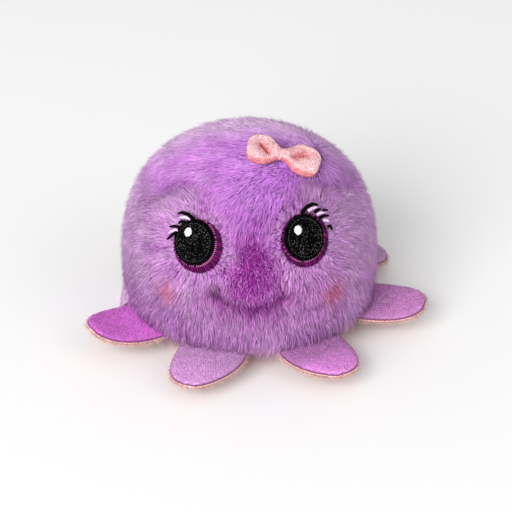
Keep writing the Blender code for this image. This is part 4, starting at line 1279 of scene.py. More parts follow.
class Eye:
    """Curved eye on the face, stitched over in thread; places are measured from its middle."""

    def __init__(self, side, thread):
        across, height, self.shift = EYES[side]
        self.side, self.thread = side, thread
        self.seed = 3 if side == "left" else 57
        self.matrix = face_frame(across, height)

    def chance(self, number):
        """Steady value from 0 to 1 for a stitch of this eye."""
        return hash_share(number + self.seed)

    def sag(self, across, up):
        """Drop of the curved eye this far from its middle."""
        return EYE_CURVE_RADIUS - math.sqrt(EYE_CURVE_RADIUS**2 - across**2 - up**2)

    def at(self, across, up, level):
        """Point at a level over the curved eye."""
        return self.matrix @ Vector((across, up, level - self.sag(across, up)))

    def oval(self, middle, half, turn, level):
        """Point at a turn round an oval over the curved eye."""
        return self.at(middle[0] + half[0] * math.cos(turn), middle[1] + half[1] * math.sin(turn), level)

    def lens(self, middle, half, low, high, tint):
        """Solid oval under the stitches: its middle, half width and height, and its two levels."""
        edge = min(0.0004, (high - low) * 0.45)
        profile = [(share, high) for share in (0.25, 0.5, 0.75)]
        profile += [
            (1 - edge / half[0] * (1 - math.sin(turn)), high - edge * (1 - math.cos(turn)))
            for turn in np.linspace(0, math.pi / 2, 5)
        ]
        profile += [(share, low) for share in (1.0, 0.75, 0.5, 0.25)]
        rings = []
        for share, level in profile:
            drawn = (half[0] * share, half[1] * share)
            rings.append([self.oval(middle, drawn, step_turn(index, 64), level) for index in range(64)])
        return loft_mesh(rings, tint=np.tile(tint, (len(rings) * 64 + 2, 1)))

    def satin_ring(self, stitches, middle, inner, outer, level, rise, count, tint, bright=1.0):
        """Radial satin stitches between two ovals, with ends that don't quite line up."""
        for number in range(count):
            ragged = 0.00042 * (self.chance(number) - 0.5)
            line = []
            for share, lift in ((0.0, 0.0), (0.3, rise), (0.75, rise), (1.0, -0.0002)):
                half = [start + (end + ragged - start) * share for start, end in zip(inner, outer)]
                line.append(self.oval(middle, half, step_turn(number, count), level + lift))
            shade = 0.5 + 0.8 * self.chance(number * 3) ** 1.6
            shade *= bright if self.chance(number * 7) > 0.72 else 1.0
            stitches.add(line, tint * shade)

    def fill_rows(self, stitches, middle, half, level, pitch, length, lean, tint, spread=0.6):
        """Rows of fill stitches in an oval, each row starting a little further on."""
        slope, reach = math.radians(lean), max(half)
        for row, offset in enumerate(np.arange(-reach, reach, pitch), 1):
            start = -reach + length * self.chance(row)
            while start < reach:
                first, last = (
                    np.array((
                        along * math.cos(slope) - offset * math.sin(slope),
                        along * math.sin(slope) + offset * math.cos(slope),
                    ))
                    for along in (start, min(start + length * 0.94, reach))
                )
                if all((across / half[0]) ** 2 + (up / half[1]) ** 2 < 1 for across, up in (first, last)):
                    line = []
                    for share, lift in ((0.0, -0.00008), (0.25, 0.00005), (0.75, 0.00005), (1.0, -0.00008)):
                        line.append(self.at(*(middle + first + (last - first) * share), level + lift))
                    shade = 1 - spread / 2 + spread * self.chance(row * 31 + start * 9000)
                    stitches.add(line, tint * shade)
                start += length

    def over_face(self, place, lift):
        """Point over the face that the photo's line of sight meets at a place beside the eye."""
        across, height, _ = EYES[self.side]
        aside, raised = LASH_SHIFTS[self.side]
        wanted = face_point(across, height)[0] + Vector((place[0] + aside, 0.0, 0.0))
        wanted = wanted + SIGHT_UP * (place[1] + raised)
        reached = wanted.copy()
        for _ in range(16):
            miss = wanted - face_point(reached.x, reached.z, lift)[0]
            reached += (miss - SIGHT * miss.dot(SIGHT)) * 0.7
        return face_point(reached.x, reached.z, lift)[0]

    def satin_stroke(self, stitches, places, widths, lift, tint, number):
        """Column of satin stitches laid across a bent stroke over the face."""
        places = np.array(places)
        lengths = run_lengths(places)
        steps = max(3, round(lengths[-1] / 0.0002))
        for step in range(steps):
            share = step / (steps - 1)
            here, ahead = (
                on_line(min(1.0, max(0.0, value)) * lengths[-1], lengths, places)
                for value in (share - 0.08, share + 0.08)
            )
            run = (ahead - here) / np.linalg.norm(ahead - here)
            centre, aside = on_line(share * lengths[-1], lengths, places), np.array([-run[1], run[0]])
            half = (widths[0] + (widths[1] - widths[0]) * share) * (0.9 + 0.2 * self.chance(step + number))
            half *= min(1.0, 0.55 + 1.2 * (1 - share))
            line = [
                self.over_face(centre + aside * half * part, lift + rise)
                for part, rise in ((-1.0, -0.0002), (-0.55, 0.00012), (0.55, 0.00012), (1.0, -0.0002))
            ]
            stitches.add(line, tint * (0.75 + 0.5 * self.chance(step * 7 + number)))

    def iris(self, surface, tint, dots):
        """Ring of satin stitches with a few pale ones round the pupil."""
        ring = Stitches(self.thread * 1.5)
        inner, outer = (IRIS_RADIUS * 0.70,) * 2, (IRIS_RADIUS,) * 2
        self.satin_ring(ring, (0.0, 0.0), inner, outer, -0.00098, 0.00024, 132, tint, 2.6)
        for number in range(74):
            turn = step_turn(number, 74)
            strength = 0.5 + 0.5 * math.cos(turn + math.radians(48))
            if self.chance(number) > 0.25 + 0.75 * strength:
                continue
            line = []
            for reach, lift in ((0.00012, 0.0), (0.00034, 0.00016), (0.00062, 0.0)):
                out = (PUPIL_HALF_WIDTH + reach) * math.cos(turn) + self.shift
                up = (PUPIL_HALF_HEIGHT + reach) * math.sin(turn) + PUPIL_RISE
                line.append(self.at(out, up, -0.00072 + lift))
            ring.add(line, dots * (0.5 + 0.7 * strength), fullness=0.62)
        lens = self.lens((0.0, 0.0), (IRIS_RADIUS - 0.0003,) * 2, -0.0021, -0.00095, tint)
        satin = joined(lens, ring.mesh(surface))
        add_piece(self.side + "_iris_satin", satin, surface, "iris_thread", self.side + "_iris")

    def pupil(self, surface, tint):
        """Black fill with a satin edge, a grey line inside it and grey specks painted as glints of light."""
        middle, half = (self.shift, PUPIL_RISE), (PUPIL_HALF_WIDTH, PUPIL_HALF_HEIGHT)
        fill = Stitches(self.thread)
        self.fill_rows(fill, middle, (half[0] * 0.90, half[1] * 0.90), 0.00022, 0.00033, 0.0021, 24, tint)
        self.satin_ring(fill, middle, (half[0] * 0.86, half[1] * 0.86), half, 0.0001, 0.0002, 128, tint * 0.6)
        for number in range(46):
            turn = 2 * math.pi * (number + 0.5 * self.chance(number)) / 46
            drawn = (half[0] * 0.84, half[1] * 0.84)
            line = [self.oval(middle, drawn, turn + step, 0.00042) for step in (0.0, 0.06)]
            fill.add(line, linear((112, 110, 112)), fullness=0.42)
        # Short grey stitches painted as glints of light on the black fill
        for number in range(150):
            turn, reach = 2 * math.pi * self.chance(number * 5), 0.80 * math.sqrt(self.chance(number * 11))
            out = middle[0] + half[0] * reach * math.cos(turn)
            up = middle[1] + half[1] * reach * math.sin(turn)
            level = 0.00041 - self.sag(out, up)
            line = [self.matrix @ Vector((out + step, up + step * 0.5, level)) for step in (0.0, 0.00022)]
            fill.add(line, linear((60 + 110 * self.chance(number),) * 3), fullness=0.40)
        lens = self.lens(middle, (half[0] - 0.0002, half[1] - 0.0002), -0.0006, 0.00016, tint)
        satin = joined(lens, fill.mesh(surface))
        add_piece(self.side + "_pupil_fill", satin, surface, "black_thread", self.side + "_pupil")

    def glint(self, surface, tint):
        """White highlight in short satin rows."""
        spot = (self.shift + GLINT_SHIFT, PUPIL_RISE + GLINT_RISE)
        half = (GLINT_HALF_WIDTH, GLINT_HALF_HEIGHT)
        shine = Stitches(self.thread * 1.05)
        for number, rise in enumerate(np.linspace(-0.9, 0.9, 13)):
            width = half[0] * math.sqrt(1 - rise**2) * (0.86 + 0.28 * self.chance(number))
            up = spot[1] + half[1] * rise
            line = []
            for part, lift in ((-1.0, -0.0001), (-0.5, 0.00016), (0.5, 0.00016), (1.0, -0.0001)):
                out = spot[0] + width * part
                level = 0.00072 + lift - self.sag(out, up)
                line.append(self.matrix @ Vector((out, up + 0.0001 * part, level)))
            shine.add(line, tint * (0.85 + 0.15 * hash_share(number * 3)))
        lens = self.lens(spot, (half[0] * 0.92, half[1] * 0.92), 0.0003, 0.0007, tint)
        satin = joined(lens, shine.mesh(surface))
        add_piece(self.side + "_glint_satin", satin, surface, "white_thread", self.side + "_glint")

    def lashes(self, surface, tint):
        """Dark strokes of the lashes with the pale stitches between them."""
        lash = Stitches(self.thread)
        for number, (places, widths) in enumerate(LASHES[self.side]):
            self.satin_stroke(lash, places, widths, 0.0011, tint, number)
        for number, places in enumerate(PALE_STITCHES[self.side]):
            self.satin_stroke(lash, places, (0.00044, 0.00036), 0.0008, linear((240, 208, 242)), number)
        satin = lash.mesh(surface)
        add_piece(self.side + "_lash_satin", satin, surface, "black_thread", self.side + "_lashes")


class OCTOPUS_PG_eyes(bpy.types.PropertyGroup):
    """Sizes and colours of the stitched eyes."""

    iris: FloatVectorProperty(
        name="Iris colour", description="Purple satin thread", default=(0.32, 0.03, 0.28),
        subtype="COLOR_GAMMA",
    )
    pupil: FloatVectorProperty(
        name="Pupil colour", description="Black fill thread", default=(0.010, 0.006, 0.010),
        subtype="COLOR_GAMMA",
    )
    glint: FloatVectorProperty(
        name="Glint colour", description="White thread", default=(0.95, 0.95, 0.95), subtype="COLOR_GAMMA",
    )
    dots: FloatVectorProperty(
        name="Dot colour", description="Pink dots round the pupil", default=(0.86, 0.55, 0.72),
        subtype="COLOR_GAMMA",
    )
    thread: FloatProperty(
        name="Thread radius", description="Radius of the embroidery thread", default=0.00014, unit="LENGTH",
        precision=5,
    )


class OCTOPUS_OT_eyes(bpy.types.Operator):
    """Stitch the two eyes and their lashes"""

    bl_idname = "octopus.eyes"
    bl_label = "Eyes and lashes"

    def execute(self, context):
        sizes = context.scene.octopus_eyes
        purple = thread_surface("purple satin thread", 0.6, 0.0, 0.10)
        # The last value paints grey glints of light over the black fill
        black = thread_surface("black fill thread", 0.75, 0.0, 0.0, 0.12)
        white = thread_surface("white glint thread", 0.5, 0.2)
        lash = thread_surface("black lash thread", 0.75, 0.0, 0.06)
        for side in EYES:
            eye = Eye(side, sizes.thread)
            eye.iris(purple, own_colour(sizes.iris), own_colour(sizes.dots))
            eye.pupil(black, own_colour(sizes.pupil))
            eye.glint(white, own_colour(sizes.glint))
            eye.lashes(lash, own_colour(sizes.pupil))
        return {"FINISHED"}


class OCTOPUS_PG_smile(bpy.types.PropertyGroup):
    """Thread of the smile."""

    radius: FloatProperty(
        name="Thread radius", description="Radius of the thread", default=0.00045, unit="LENGTH",
        precision=5,
    )
    depth: FloatProperty(
        name="Depth", description="Depth of the thread below the tips of the pile", default=0.0023,
        unit="LENGTH", precision=5,
    )


class OCTOPUS_OT_smile(bpy.types.Operator):
    """Lay the thread of the smile in its crease"""

    bl_idname = "octopus.smile"
    bl_label = "Smile"

    def execute(self, context):
        sizes = context.scene.octopus_smile
        surface = thread_surface("magenta mouth thread", 0.8, 0.0, 0.1)
        smile = Stitches(sizes.radius * 0.62, 6)
        for strand in range(3):
            line = []
            for step in range(121):
                share = (2 * step / 120 - 1) * 0.86
                place = FACE_SHIFT + MOUTH_HALF_WIDTH * share, MOUTH_LOW + MOUTH_RISE * share**2
                point, normal = face_point(*place, -sizes.depth)
                twist = step * 0.42 + strand * 2 * math.pi / 3
                upward = normal.cross(Vector((1.0, 0.0, 0.0))).normalized()
                turned = upward * math.cos(twist) + normal * math.sin(twist)
                line.append(point + turned * sizes.radius * 0.6)
            smile.add(line, linear((150, 16, 148)))
        add_piece("smile_thread", smile.mesh(surface), surface, "mouth_thread", "mouth_thread")
        return {"FINISHED"}


# Bow


def crown_point(across, back):
    """Point on the top of the body, with the outward normal there."""
    radius = math.hypot(across, back)
    share = radius / BODY_RADIUS
    height = WIDEST_HEIGHT + (BODY_HEIGHT - WIDEST_HEIGHT) * (1 - share**CROWN_POWER) ** (1 / CROWN_POWER)
    outward, upward = outline_normal(radius, height)
    normal = Vector((outward * across / radius, outward * back / radius, upward))
    return Vector((across, back, height)), normal


def bow_section(share):
    """Middle of the bow's section, its two axes, its half sizes and how far the lobe has opened."""
    turn = math.radians(BOW_TURN)
    reach = BOW_HALF_LENGTH * share
    base, normal = crown_point(BOW_ACROSS + reach * math.cos(turn), BOW_BACK + reach * math.sin(turn))
    along = Vector((math.cos(turn), math.sin(turn), 0.0))
    along = (along - normal * along.dot(normal)).normalized()
    tilt = math.radians(BOW_TILT)
    upward = normal.cross(along) * math.cos(tilt) + normal * math.sin(tilt)
    opening = min(1.0, abs(share) / BOW_LOBE_SHARE)
    opening = opening * opening * (3 - 2 * opening)
    ending = (1 - (max(0.0, abs(share) - BOW_LOBE_SHARE) / (1 - BOW_LOBE_SHARE)) ** 3) ** (1 / 3)
    full_height = BOW_PINCH_HALF_HEIGHT + (BOW_LOBE_HALF_HEIGHT - BOW_PINCH_HALF_HEIGHT) * opening
    full_depth = BOW_PINCH_HALF_THICKNESS + (BOW_LOBE_HALF_THICKNESS - BOW_PINCH_HALF_THICKNESS) * opening
    extent = math.hypot(full_height * math.sin(tilt), full_depth * math.cos(tilt))
    room = (2 * BOW_STITCH_RADIUS + GAP) * (1 - opening)
    middle = base + normal * (extent + BOW_CLEARANCE + room - BOW_SINK)
    return middle, upward, along.cross(upward), full_height * ending, full_depth * ending, opening


class OCTOPUS_PG_bow(bpy.types.PropertyGroup):
    """Cloth of the bow."""

    cloth: FloatVectorProperty(
        name="Cloth colour", description="Salmon velour", default=(1.0, 0.88, 0.90), subtype="COLOR_GAMMA",
    )
    # Colour of the painted shade deep in the folds
    fold: FloatVectorProperty(
        name="Fold colour", description="Colour deep in the folds", default=(0.90, 0.42, 0.46),
        subtype="COLOR_GAMMA",
    )
    nap: FloatProperty(
        name="Velour pile", description="Length of the pile", default=0.00038, unit="LENGTH", precision=5,
    )


class OCTOPUS_OT_bow(bpy.types.Operator):
    """Fold the bow and tie its pinch"""

    bl_idname = "octopus.bow"
    bl_label = "Bow"

    def execute(self, context):
        sizes = context.scene.octopus_bow
        cloth, fold = own_colour(sizes.cloth), own_colour(sizes.fold)
        rings, tints, combs = [], [], []
        for station in range(BOW_STATIONS):
            share = BOW_END_SHARE * math.sin(math.pi * (station / (BOW_STATIONS - 1) - 0.5))
            turns = [step_turn(index, BOW_POINTS) for index in range(BOW_POINTS)]
            ring = [self.ring_point(share, turn, cloth, fold) for turn in turns]
            places, tones, naps = zip(*ring)
            rings.append(places)
            tints += tones
            combs += naps
        tints = np.array(tints + [cloth] * 2)
        comb = unit(np.array(combs + [np.array((0.0, 0.0, 1.0))] * 2)) * 0.4
        mesh = loft_mesh(rings, **pile_values(tints, comb, np.ones(len(tints)), [0.94, 0.62, 0.62], 1.04))
        velour = velour_surface("bow velour", 0.0010, 0.18)
        pile = pile_surface("bow velour pile", 0.0010, 0.18)
        add_piece("bow_cloth", without(mesh.copy(), "tint"), velour, "bow_cloth", "bow", fill=0.3)
        add_pile(
            "bow_pile", mesh, pile, "bow_cloth", 12.0e6, sizes.nap, 5, Root_Radius=0.00013, Tuft_Size=0.0006,
            Tuft_Pull=0.3, Stray=0.35,
        )
        self.tie(cloth * [0.95, 0.72, 0.72])
        return {"FINISHED"}

    def ring_point(self, share, turn, cloth, fold):
        """Point of the folded cloth round a section of the bow, with its colour and nap.

        The colour holds painted shade in the folds and on the lower side, and a painted highlight along the
        rim.
        """
        middle, upward, outward, half_height, half_depth, opening = bow_section(share)
        size, left = half_height / BOW_LOBE_HALF_HEIGHT, share < 0
        scale = [BOW_HALF_LENGTH, BOW_LOBE_HALF_HEIGHT]
        slit_from, slit_to = (np.array(place) * scale for place in BOW_SLITS[left])
        across, front = signed_power(math.cos(turn), 0.75), signed_power(math.sin(turn), 0.75)
        here, run = np.array([share * BOW_HALF_LENGTH, across * half_height]), slit_to - slit_from
        along = np.clip(np.dot(here - slit_from, run) / np.dot(run, run), 0.0, 1.0)
        away = float(np.linalg.norm(here - slit_from - along * run))
        facing = front > 0
        slit = soft_mark(away, 0.0006 if left else 0.0010) * facing
        hollow = soft_mark(away, 0.0026) * facing * opening
        back = soft_mark(across, 0.45) * opening if front < 0 else 0.0
        ridge = 0.0005 * soft_mark(abs(share) - 0.16, 0.07) * max(0.0, front)
        depth = half_depth * front - (0.0015 * slit + 0.0015 * hollow) * size + 0.0008 * size * back + ridge
        lip = 0.0005 * soft_mark(abs(across) - 0.88, 0.10) * opening * facing
        point = middle + upward * (half_height * across) + outward * (depth + lip)
        # Painted shade in the slit, the hollow of each lobe and the pinch
        painted_fold_shade = min(1.0, (0.8 if left else 0.35) * slit + 0.36 * hollow + 0.24 * (1 - opening) * facing)
        # Painted shade along the lower side
        under = smooth_step(0.80, 0.95, -across) * (1.0 if front < 0.75 else 0.4)
        # Painted highlight along the rim of the front
        pale = 0.7 * soft_mark(abs(across) - 0.84, 0.10) * facing
        tone = cloth * (1 - painted_fold_shade) + fold * painted_fold_shade
        tone = tone * (1 - pale) + linear(BOW_RIM_HIGHLIGHT) * pale
        tone = tone * (1 - under) + linear(BOW_SIDE_SHADE) * under
        return point, tone, np.array(upward) * across + np.array(outward) * 0.3

    def tie(self, tint):
        """Three turns of thread round the pinch."""
        middle, upward, outward, half_height, half_depth, _ = bow_section(0.0)
        along = upward.cross(outward)
        wraps = Stitches(0.00024, 6)
        for wrap in range(3):
            loop = []
            for step in range(36):
                turn = step_turn(step, 36)
                aside = (wrap - 1) * 0.00042 + 0.0009 * math.cos(turn)
                rise, out = (half_height + 0.00016) * math.cos(turn), (half_depth + 0.00016) * math.sin(turn)
                loop.append(middle + upward * rise + outward * out + along * aside)
            wraps.add(loop, tint, closed=True)
        thread = thread_surface("bow stitch thread", 0.7, 0.2)
        add_piece("bow_stitch_thread", wraps.mesh(thread), thread, "bow_thread", "bow_stitch")


# Tentacles


def tentacle_frame(azimuth):
    """Frame of a tentacle's fold line: X outwards, Y across, Z up."""
    turn = math.radians(azimuth)
    outward = Vector((math.sin(turn), -math.cos(turn), 0.0))
    upward = Vector((0.0, 0.0, 1.0))
    made = Matrix((outward, upward.cross(outward), upward)).transposed().to_4x4()
    made.translation = outward * (outline_radius(ROOT_HEIGHT) + ROOT_STEP) + upward * ROOT_HEIGHT
    return made


def tentacle_path(length, first, last, bend_from, bend_to):
    """Function of the distance along a tentacle: its reach, its height and its slope."""
    steps = 240
    shares = (np.arange(steps) + 0.5) / steps
    bends = np.clip((shares - bend_from) / (bend_to - bend_from), 0.0, 1.0)
    slopes = np.radians(first + (last - first) * bends)
    reach, rise = (
        np.concatenate([[0.0], np.cumsum(parts)]) * length / steps
        for parts in (np.cos(slopes), np.sin(slopes))
    )
    places = np.arange(steps + 1) * length / steps
    tilts = np.concatenate([[math.radians(first)], slopes])

    def place(distance):
        if distance <= 0:
            return distance * math.cos(tilts[0]), distance * math.sin(tilts[0]), tilts[0]
        return tuple(float(np.interp(distance, places, values)) for values in (reach, rise, tilts))

    return place


def tentacle_width(share):
    """Share of the full width at a share of the length."""
    return (1 - share**TENTACLE_TAPER_POWER) ** (1 / TENTACLE_ROUND_POWER)


def set_aside(number, share, width, across):
    """Distance from a tentacle's middle line at a share of its length, for -1 to 1 across it."""
    _, sweep, drawn = TENTACLE_TURNS[number - 1]
    share = max(0.0, share)
    narrowed = drawn * share**2 * width * max(0.0, math.copysign(1.0, drawn) * across)
    return TENTACLE_HALF_WIDTH * width * across + sweep * share**1.3 - narrowed


def layer_mesh(number, matrix, place, length, thickness, side, tone):
    """One cloth layer of a tentacle, above the fold plane for side 1 and below it for side -1."""
    rounding = GAP / 2 + thickness
    stations = [
        (-rounding * math.sin(turn), rounding * math.cos(turn) - GAP / 2, 1.0, 0.0)
        for turn in np.radians(np.linspace(ROOT_WRAP_ANGLE, 0.0, 7))[:-1]
    ]
    for share in TIP_SHARE * np.sin(math.pi / 2 * np.linspace(0.0, 1.0, 34)):
        width = tentacle_width(share)
        stations.append((length * share, thickness * min(1.0, width / 0.5) ** 0.5, width, share))
    rings, tints, combs, covers = [], [], [], []
    axes = np.array(matrix)[:3, :3]
    # The underside is a little longer and wider, so that its edge shows
    longer, wider = (1.0, 1.0) if side > 0 else (1.015, 1.03)
    for distance, height, width, share in stations:
        reach, rise, slope = place(distance * longer)
        ring = []
        for index in range(LAYER_POINTS):
            turn = step_turn(index, LAYER_POINTS)
            lifted = math.sin(turn)
            across = signed_power(math.cos(turn), 0.42)
            bulge = lifted**0.42 * (0.86 + 0.14 * (1 - across**2)) if lifted >= 0 else 0.0
            lift = side * (GAP / 2 + height * bulge)
            aside = set_aside(number, share, width, across * wider)
            local = Vector((reach - lift * math.sin(slope), aside, rise + lift * math.cos(slope)))
            ring.append(matrix @ local)
            tints.append(tone(share, lifted))
            out = (
                math.cos(slope) * (0.35 + 0.65 * share), across * abs(across) ** 3 * 1.2,
                math.sin(slope) - 0.25 * (side < 0),
            )
            combs.append(axes @ np.array(out))
            covers.append(1.0 if lifted > -0.02 else 0.0)
        rings.append(ring)
    tints += [tone(1.0, 0.0)] * 2
    combs += [axes @ np.array([1.0, 0.0, 0.0])] * 2
    covers += [0.0] * 2
    comb, fleck = unit(np.array(combs)) * 0.75, 0.25 * (side == 1)
    return loft_mesh(rings, **pile_values(np.array(tints), comb, np.array(covers), 0.80, 1.08, fleck=fleck))


class OCTOPUS_PG_tentacles(bpy.types.PropertyGroup):
    """Cloth of the tentacles."""

    top: FloatVectorProperty(
        name="Top colour", description="Purple velour", default=(0.93, 0.68, 0.93), subtype="COLOR_GAMMA",
    )
    under: FloatVectorProperty(
        name="Underside colour", description="Salmon short pile", default=(1.0, 0.82, 0.78),
        subtype="COLOR_GAMMA",
    )
    thread: FloatVectorProperty(
        name="Seam colour", description="Thread between the layers", default=(0.56, 0.22, 0.50),
        subtype="COLOR_GAMMA",
    )
    nap: FloatProperty(
        name="Velour pile", description="Length of the pile on the top layer", default=0.0006, unit="LENGTH",
        precision=5,
    )
    fringe: FloatProperty(
        name="Underside pile", description="Length of the pile on the underside", default=0.0019,
        unit="LENGTH", precision=5,
    )


class OCTOPUS_OT_tentacles(bpy.types.Operator):
    """Cut, pile and sew the eight tentacles"""

    bl_idname = "octopus.tentacles"
    bl_label = "Tentacles"

    def execute(self, context):
        sizes = context.scene.octopus_tentacles
        top, under, thread_tint = own_colour(sizes.top), own_colour(sizes.under), own_colour(sizes.thread)
        velour = velour_surface("purple velour", 0.00105, 0.22)
        salmon = velour_surface("salmon short pile cloth", 0.0012)
        nap = pile_surface("purple velour pile", 0.00105, 0.30)
        fringe = pile_surface("salmon pile")
        seam = thread_surface("tentacle seam thread", 0.6, 0.1)
        for number, (azimuth, first, last, bend_from, bend_to, part) in enumerate(TENTACLE_SHARES, 1):
            matrix, length = tentacle_frame(azimuth), TENTACLE_LENGTH * part
            place = tentacle_path(length, first, last, bend_from, bend_to)
            body, painted_body_shade = f"tentacle_{number}", TENTACLE_TURNS[number - 1][0]
            top_tint = top * np.array(TENTACLE_TONES[number - 1])
            widths = [2 * TENTACLE_HALF_WIDTH * tentacle_width(share) for share in (np.arange(60) + 0.5) / 60]
            flat_area = length * sum(widths) / 60

            def top_tone(share, lifted):
                """Colour of the top layer, with painted shade near the body and along its very edge, where it
                meets the underside.
                """
                shade = 1 - painted_body_shade * (1 - smooth_step(0.15, 0.75, share))
                return top_tint * (shade * (1 - 0.4 * (1 - smooth_step(0.05, 0.45, lifted))))

            for layer, side, thickness, depth, tone, cloth, pile, slot, density, root_radius in (
                ("top", 1, TOP_LAYER_THICKNESS - sizes.nap * 0.35, sizes.nap, top_tone,
                 velour, nap, "top_cloth", 9.0e6, 0.00013),
                ("underside", -1, UNDER_LAYER_THICKNESS - sizes.fringe * 0.30, sizes.fringe, lambda *_: under,
                 salmon, fringe, "base_cloth", 5.0e6, 0.00011),
            ):
                name = f"{body}_{layer}"
                mesh = layer_mesh(number, matrix, place, length, thickness, side, tone)
                piece = add_piece(name + "_cloth", without(mesh.copy(), "tint"), cloth, slot, name, body=body)
                hair = add_pile(
                    name + "_pile", mesh, pile, slot, density, depth, number * 7 + side, body,
                    Root_Radius=root_radius,
                )
            stitches = self.edge_stitches(number, matrix, place, length, thread_tint)
            add_piece(f"{body}_seam_thread", stitches.mesh(seam), seam, "top_cloth", body=body)
        return {"FINISHED"}

    def edge_stitches(self, number, matrix, place, length, tint):
        """Dashes of thread along a tentacle's edge, between its layers."""
        shares = [share * TIP_SHARE for share in np.linspace(0.04, 1.0, 80)]
        edge = [(share, -1.0) for share in shares] + [(share, 1.0) for share in reversed(shares)]
        line = []
        for share, sign in edge:
            reach, rise, _ = place(length * share)
            aside = set_aside(number, share, tentacle_width(share), 1.008 * sign)
            line.append((reach + 0.0001 * share, aside, rise))
        line = np.array(line)
        lengths = run_lengths(line)
        count = int(lengths[-1] / 0.0015)
        stitches = Stitches(0.00016)
        for stitch in range(count):
            dash = []
            for share, level in ((0.0, -0.0002), (0.2, 0.0001), (0.8, 0.0001), (1.0, -0.0002)):
                middle = on_line((stitch + 0.04 + 0.92 * share) * lengths[-1] / count, lengths, line)
                dash.append(matrix @ Vector(middle + [0.0, 0.0, level]))
            stitches.add(dash, tint)
        return stitches


# Base and filling


def inset_profile(profile, inset):
    """Outline drawn in by an inset."""
    drawn = []
    for radius, height in profile:
        round_part = height > WIDEST_HEIGHT or radius > FOOT_RADIUS * 1.001
        outward, upward = outline_normal(radius, height) if round_part else (0.0, -1.0)
        drawn.append((radius - inset * outward, height - inset * upward))
    return drawn


class OCTOPUS_PG_base(bpy.types.PropertyGroup):
    """Cloth under the toy and the filling inside it."""

    thickness: FloatProperty(
        name="Cloth thickness", description="Thickness of the base cloth", default=0.0016, unit="LENGTH",
        precision=5,
    )
    nap: FloatProperty(
        name="Pile", description="Length of the pile on the base", default=0.0008, unit="LENGTH",
        precision=5,
    )


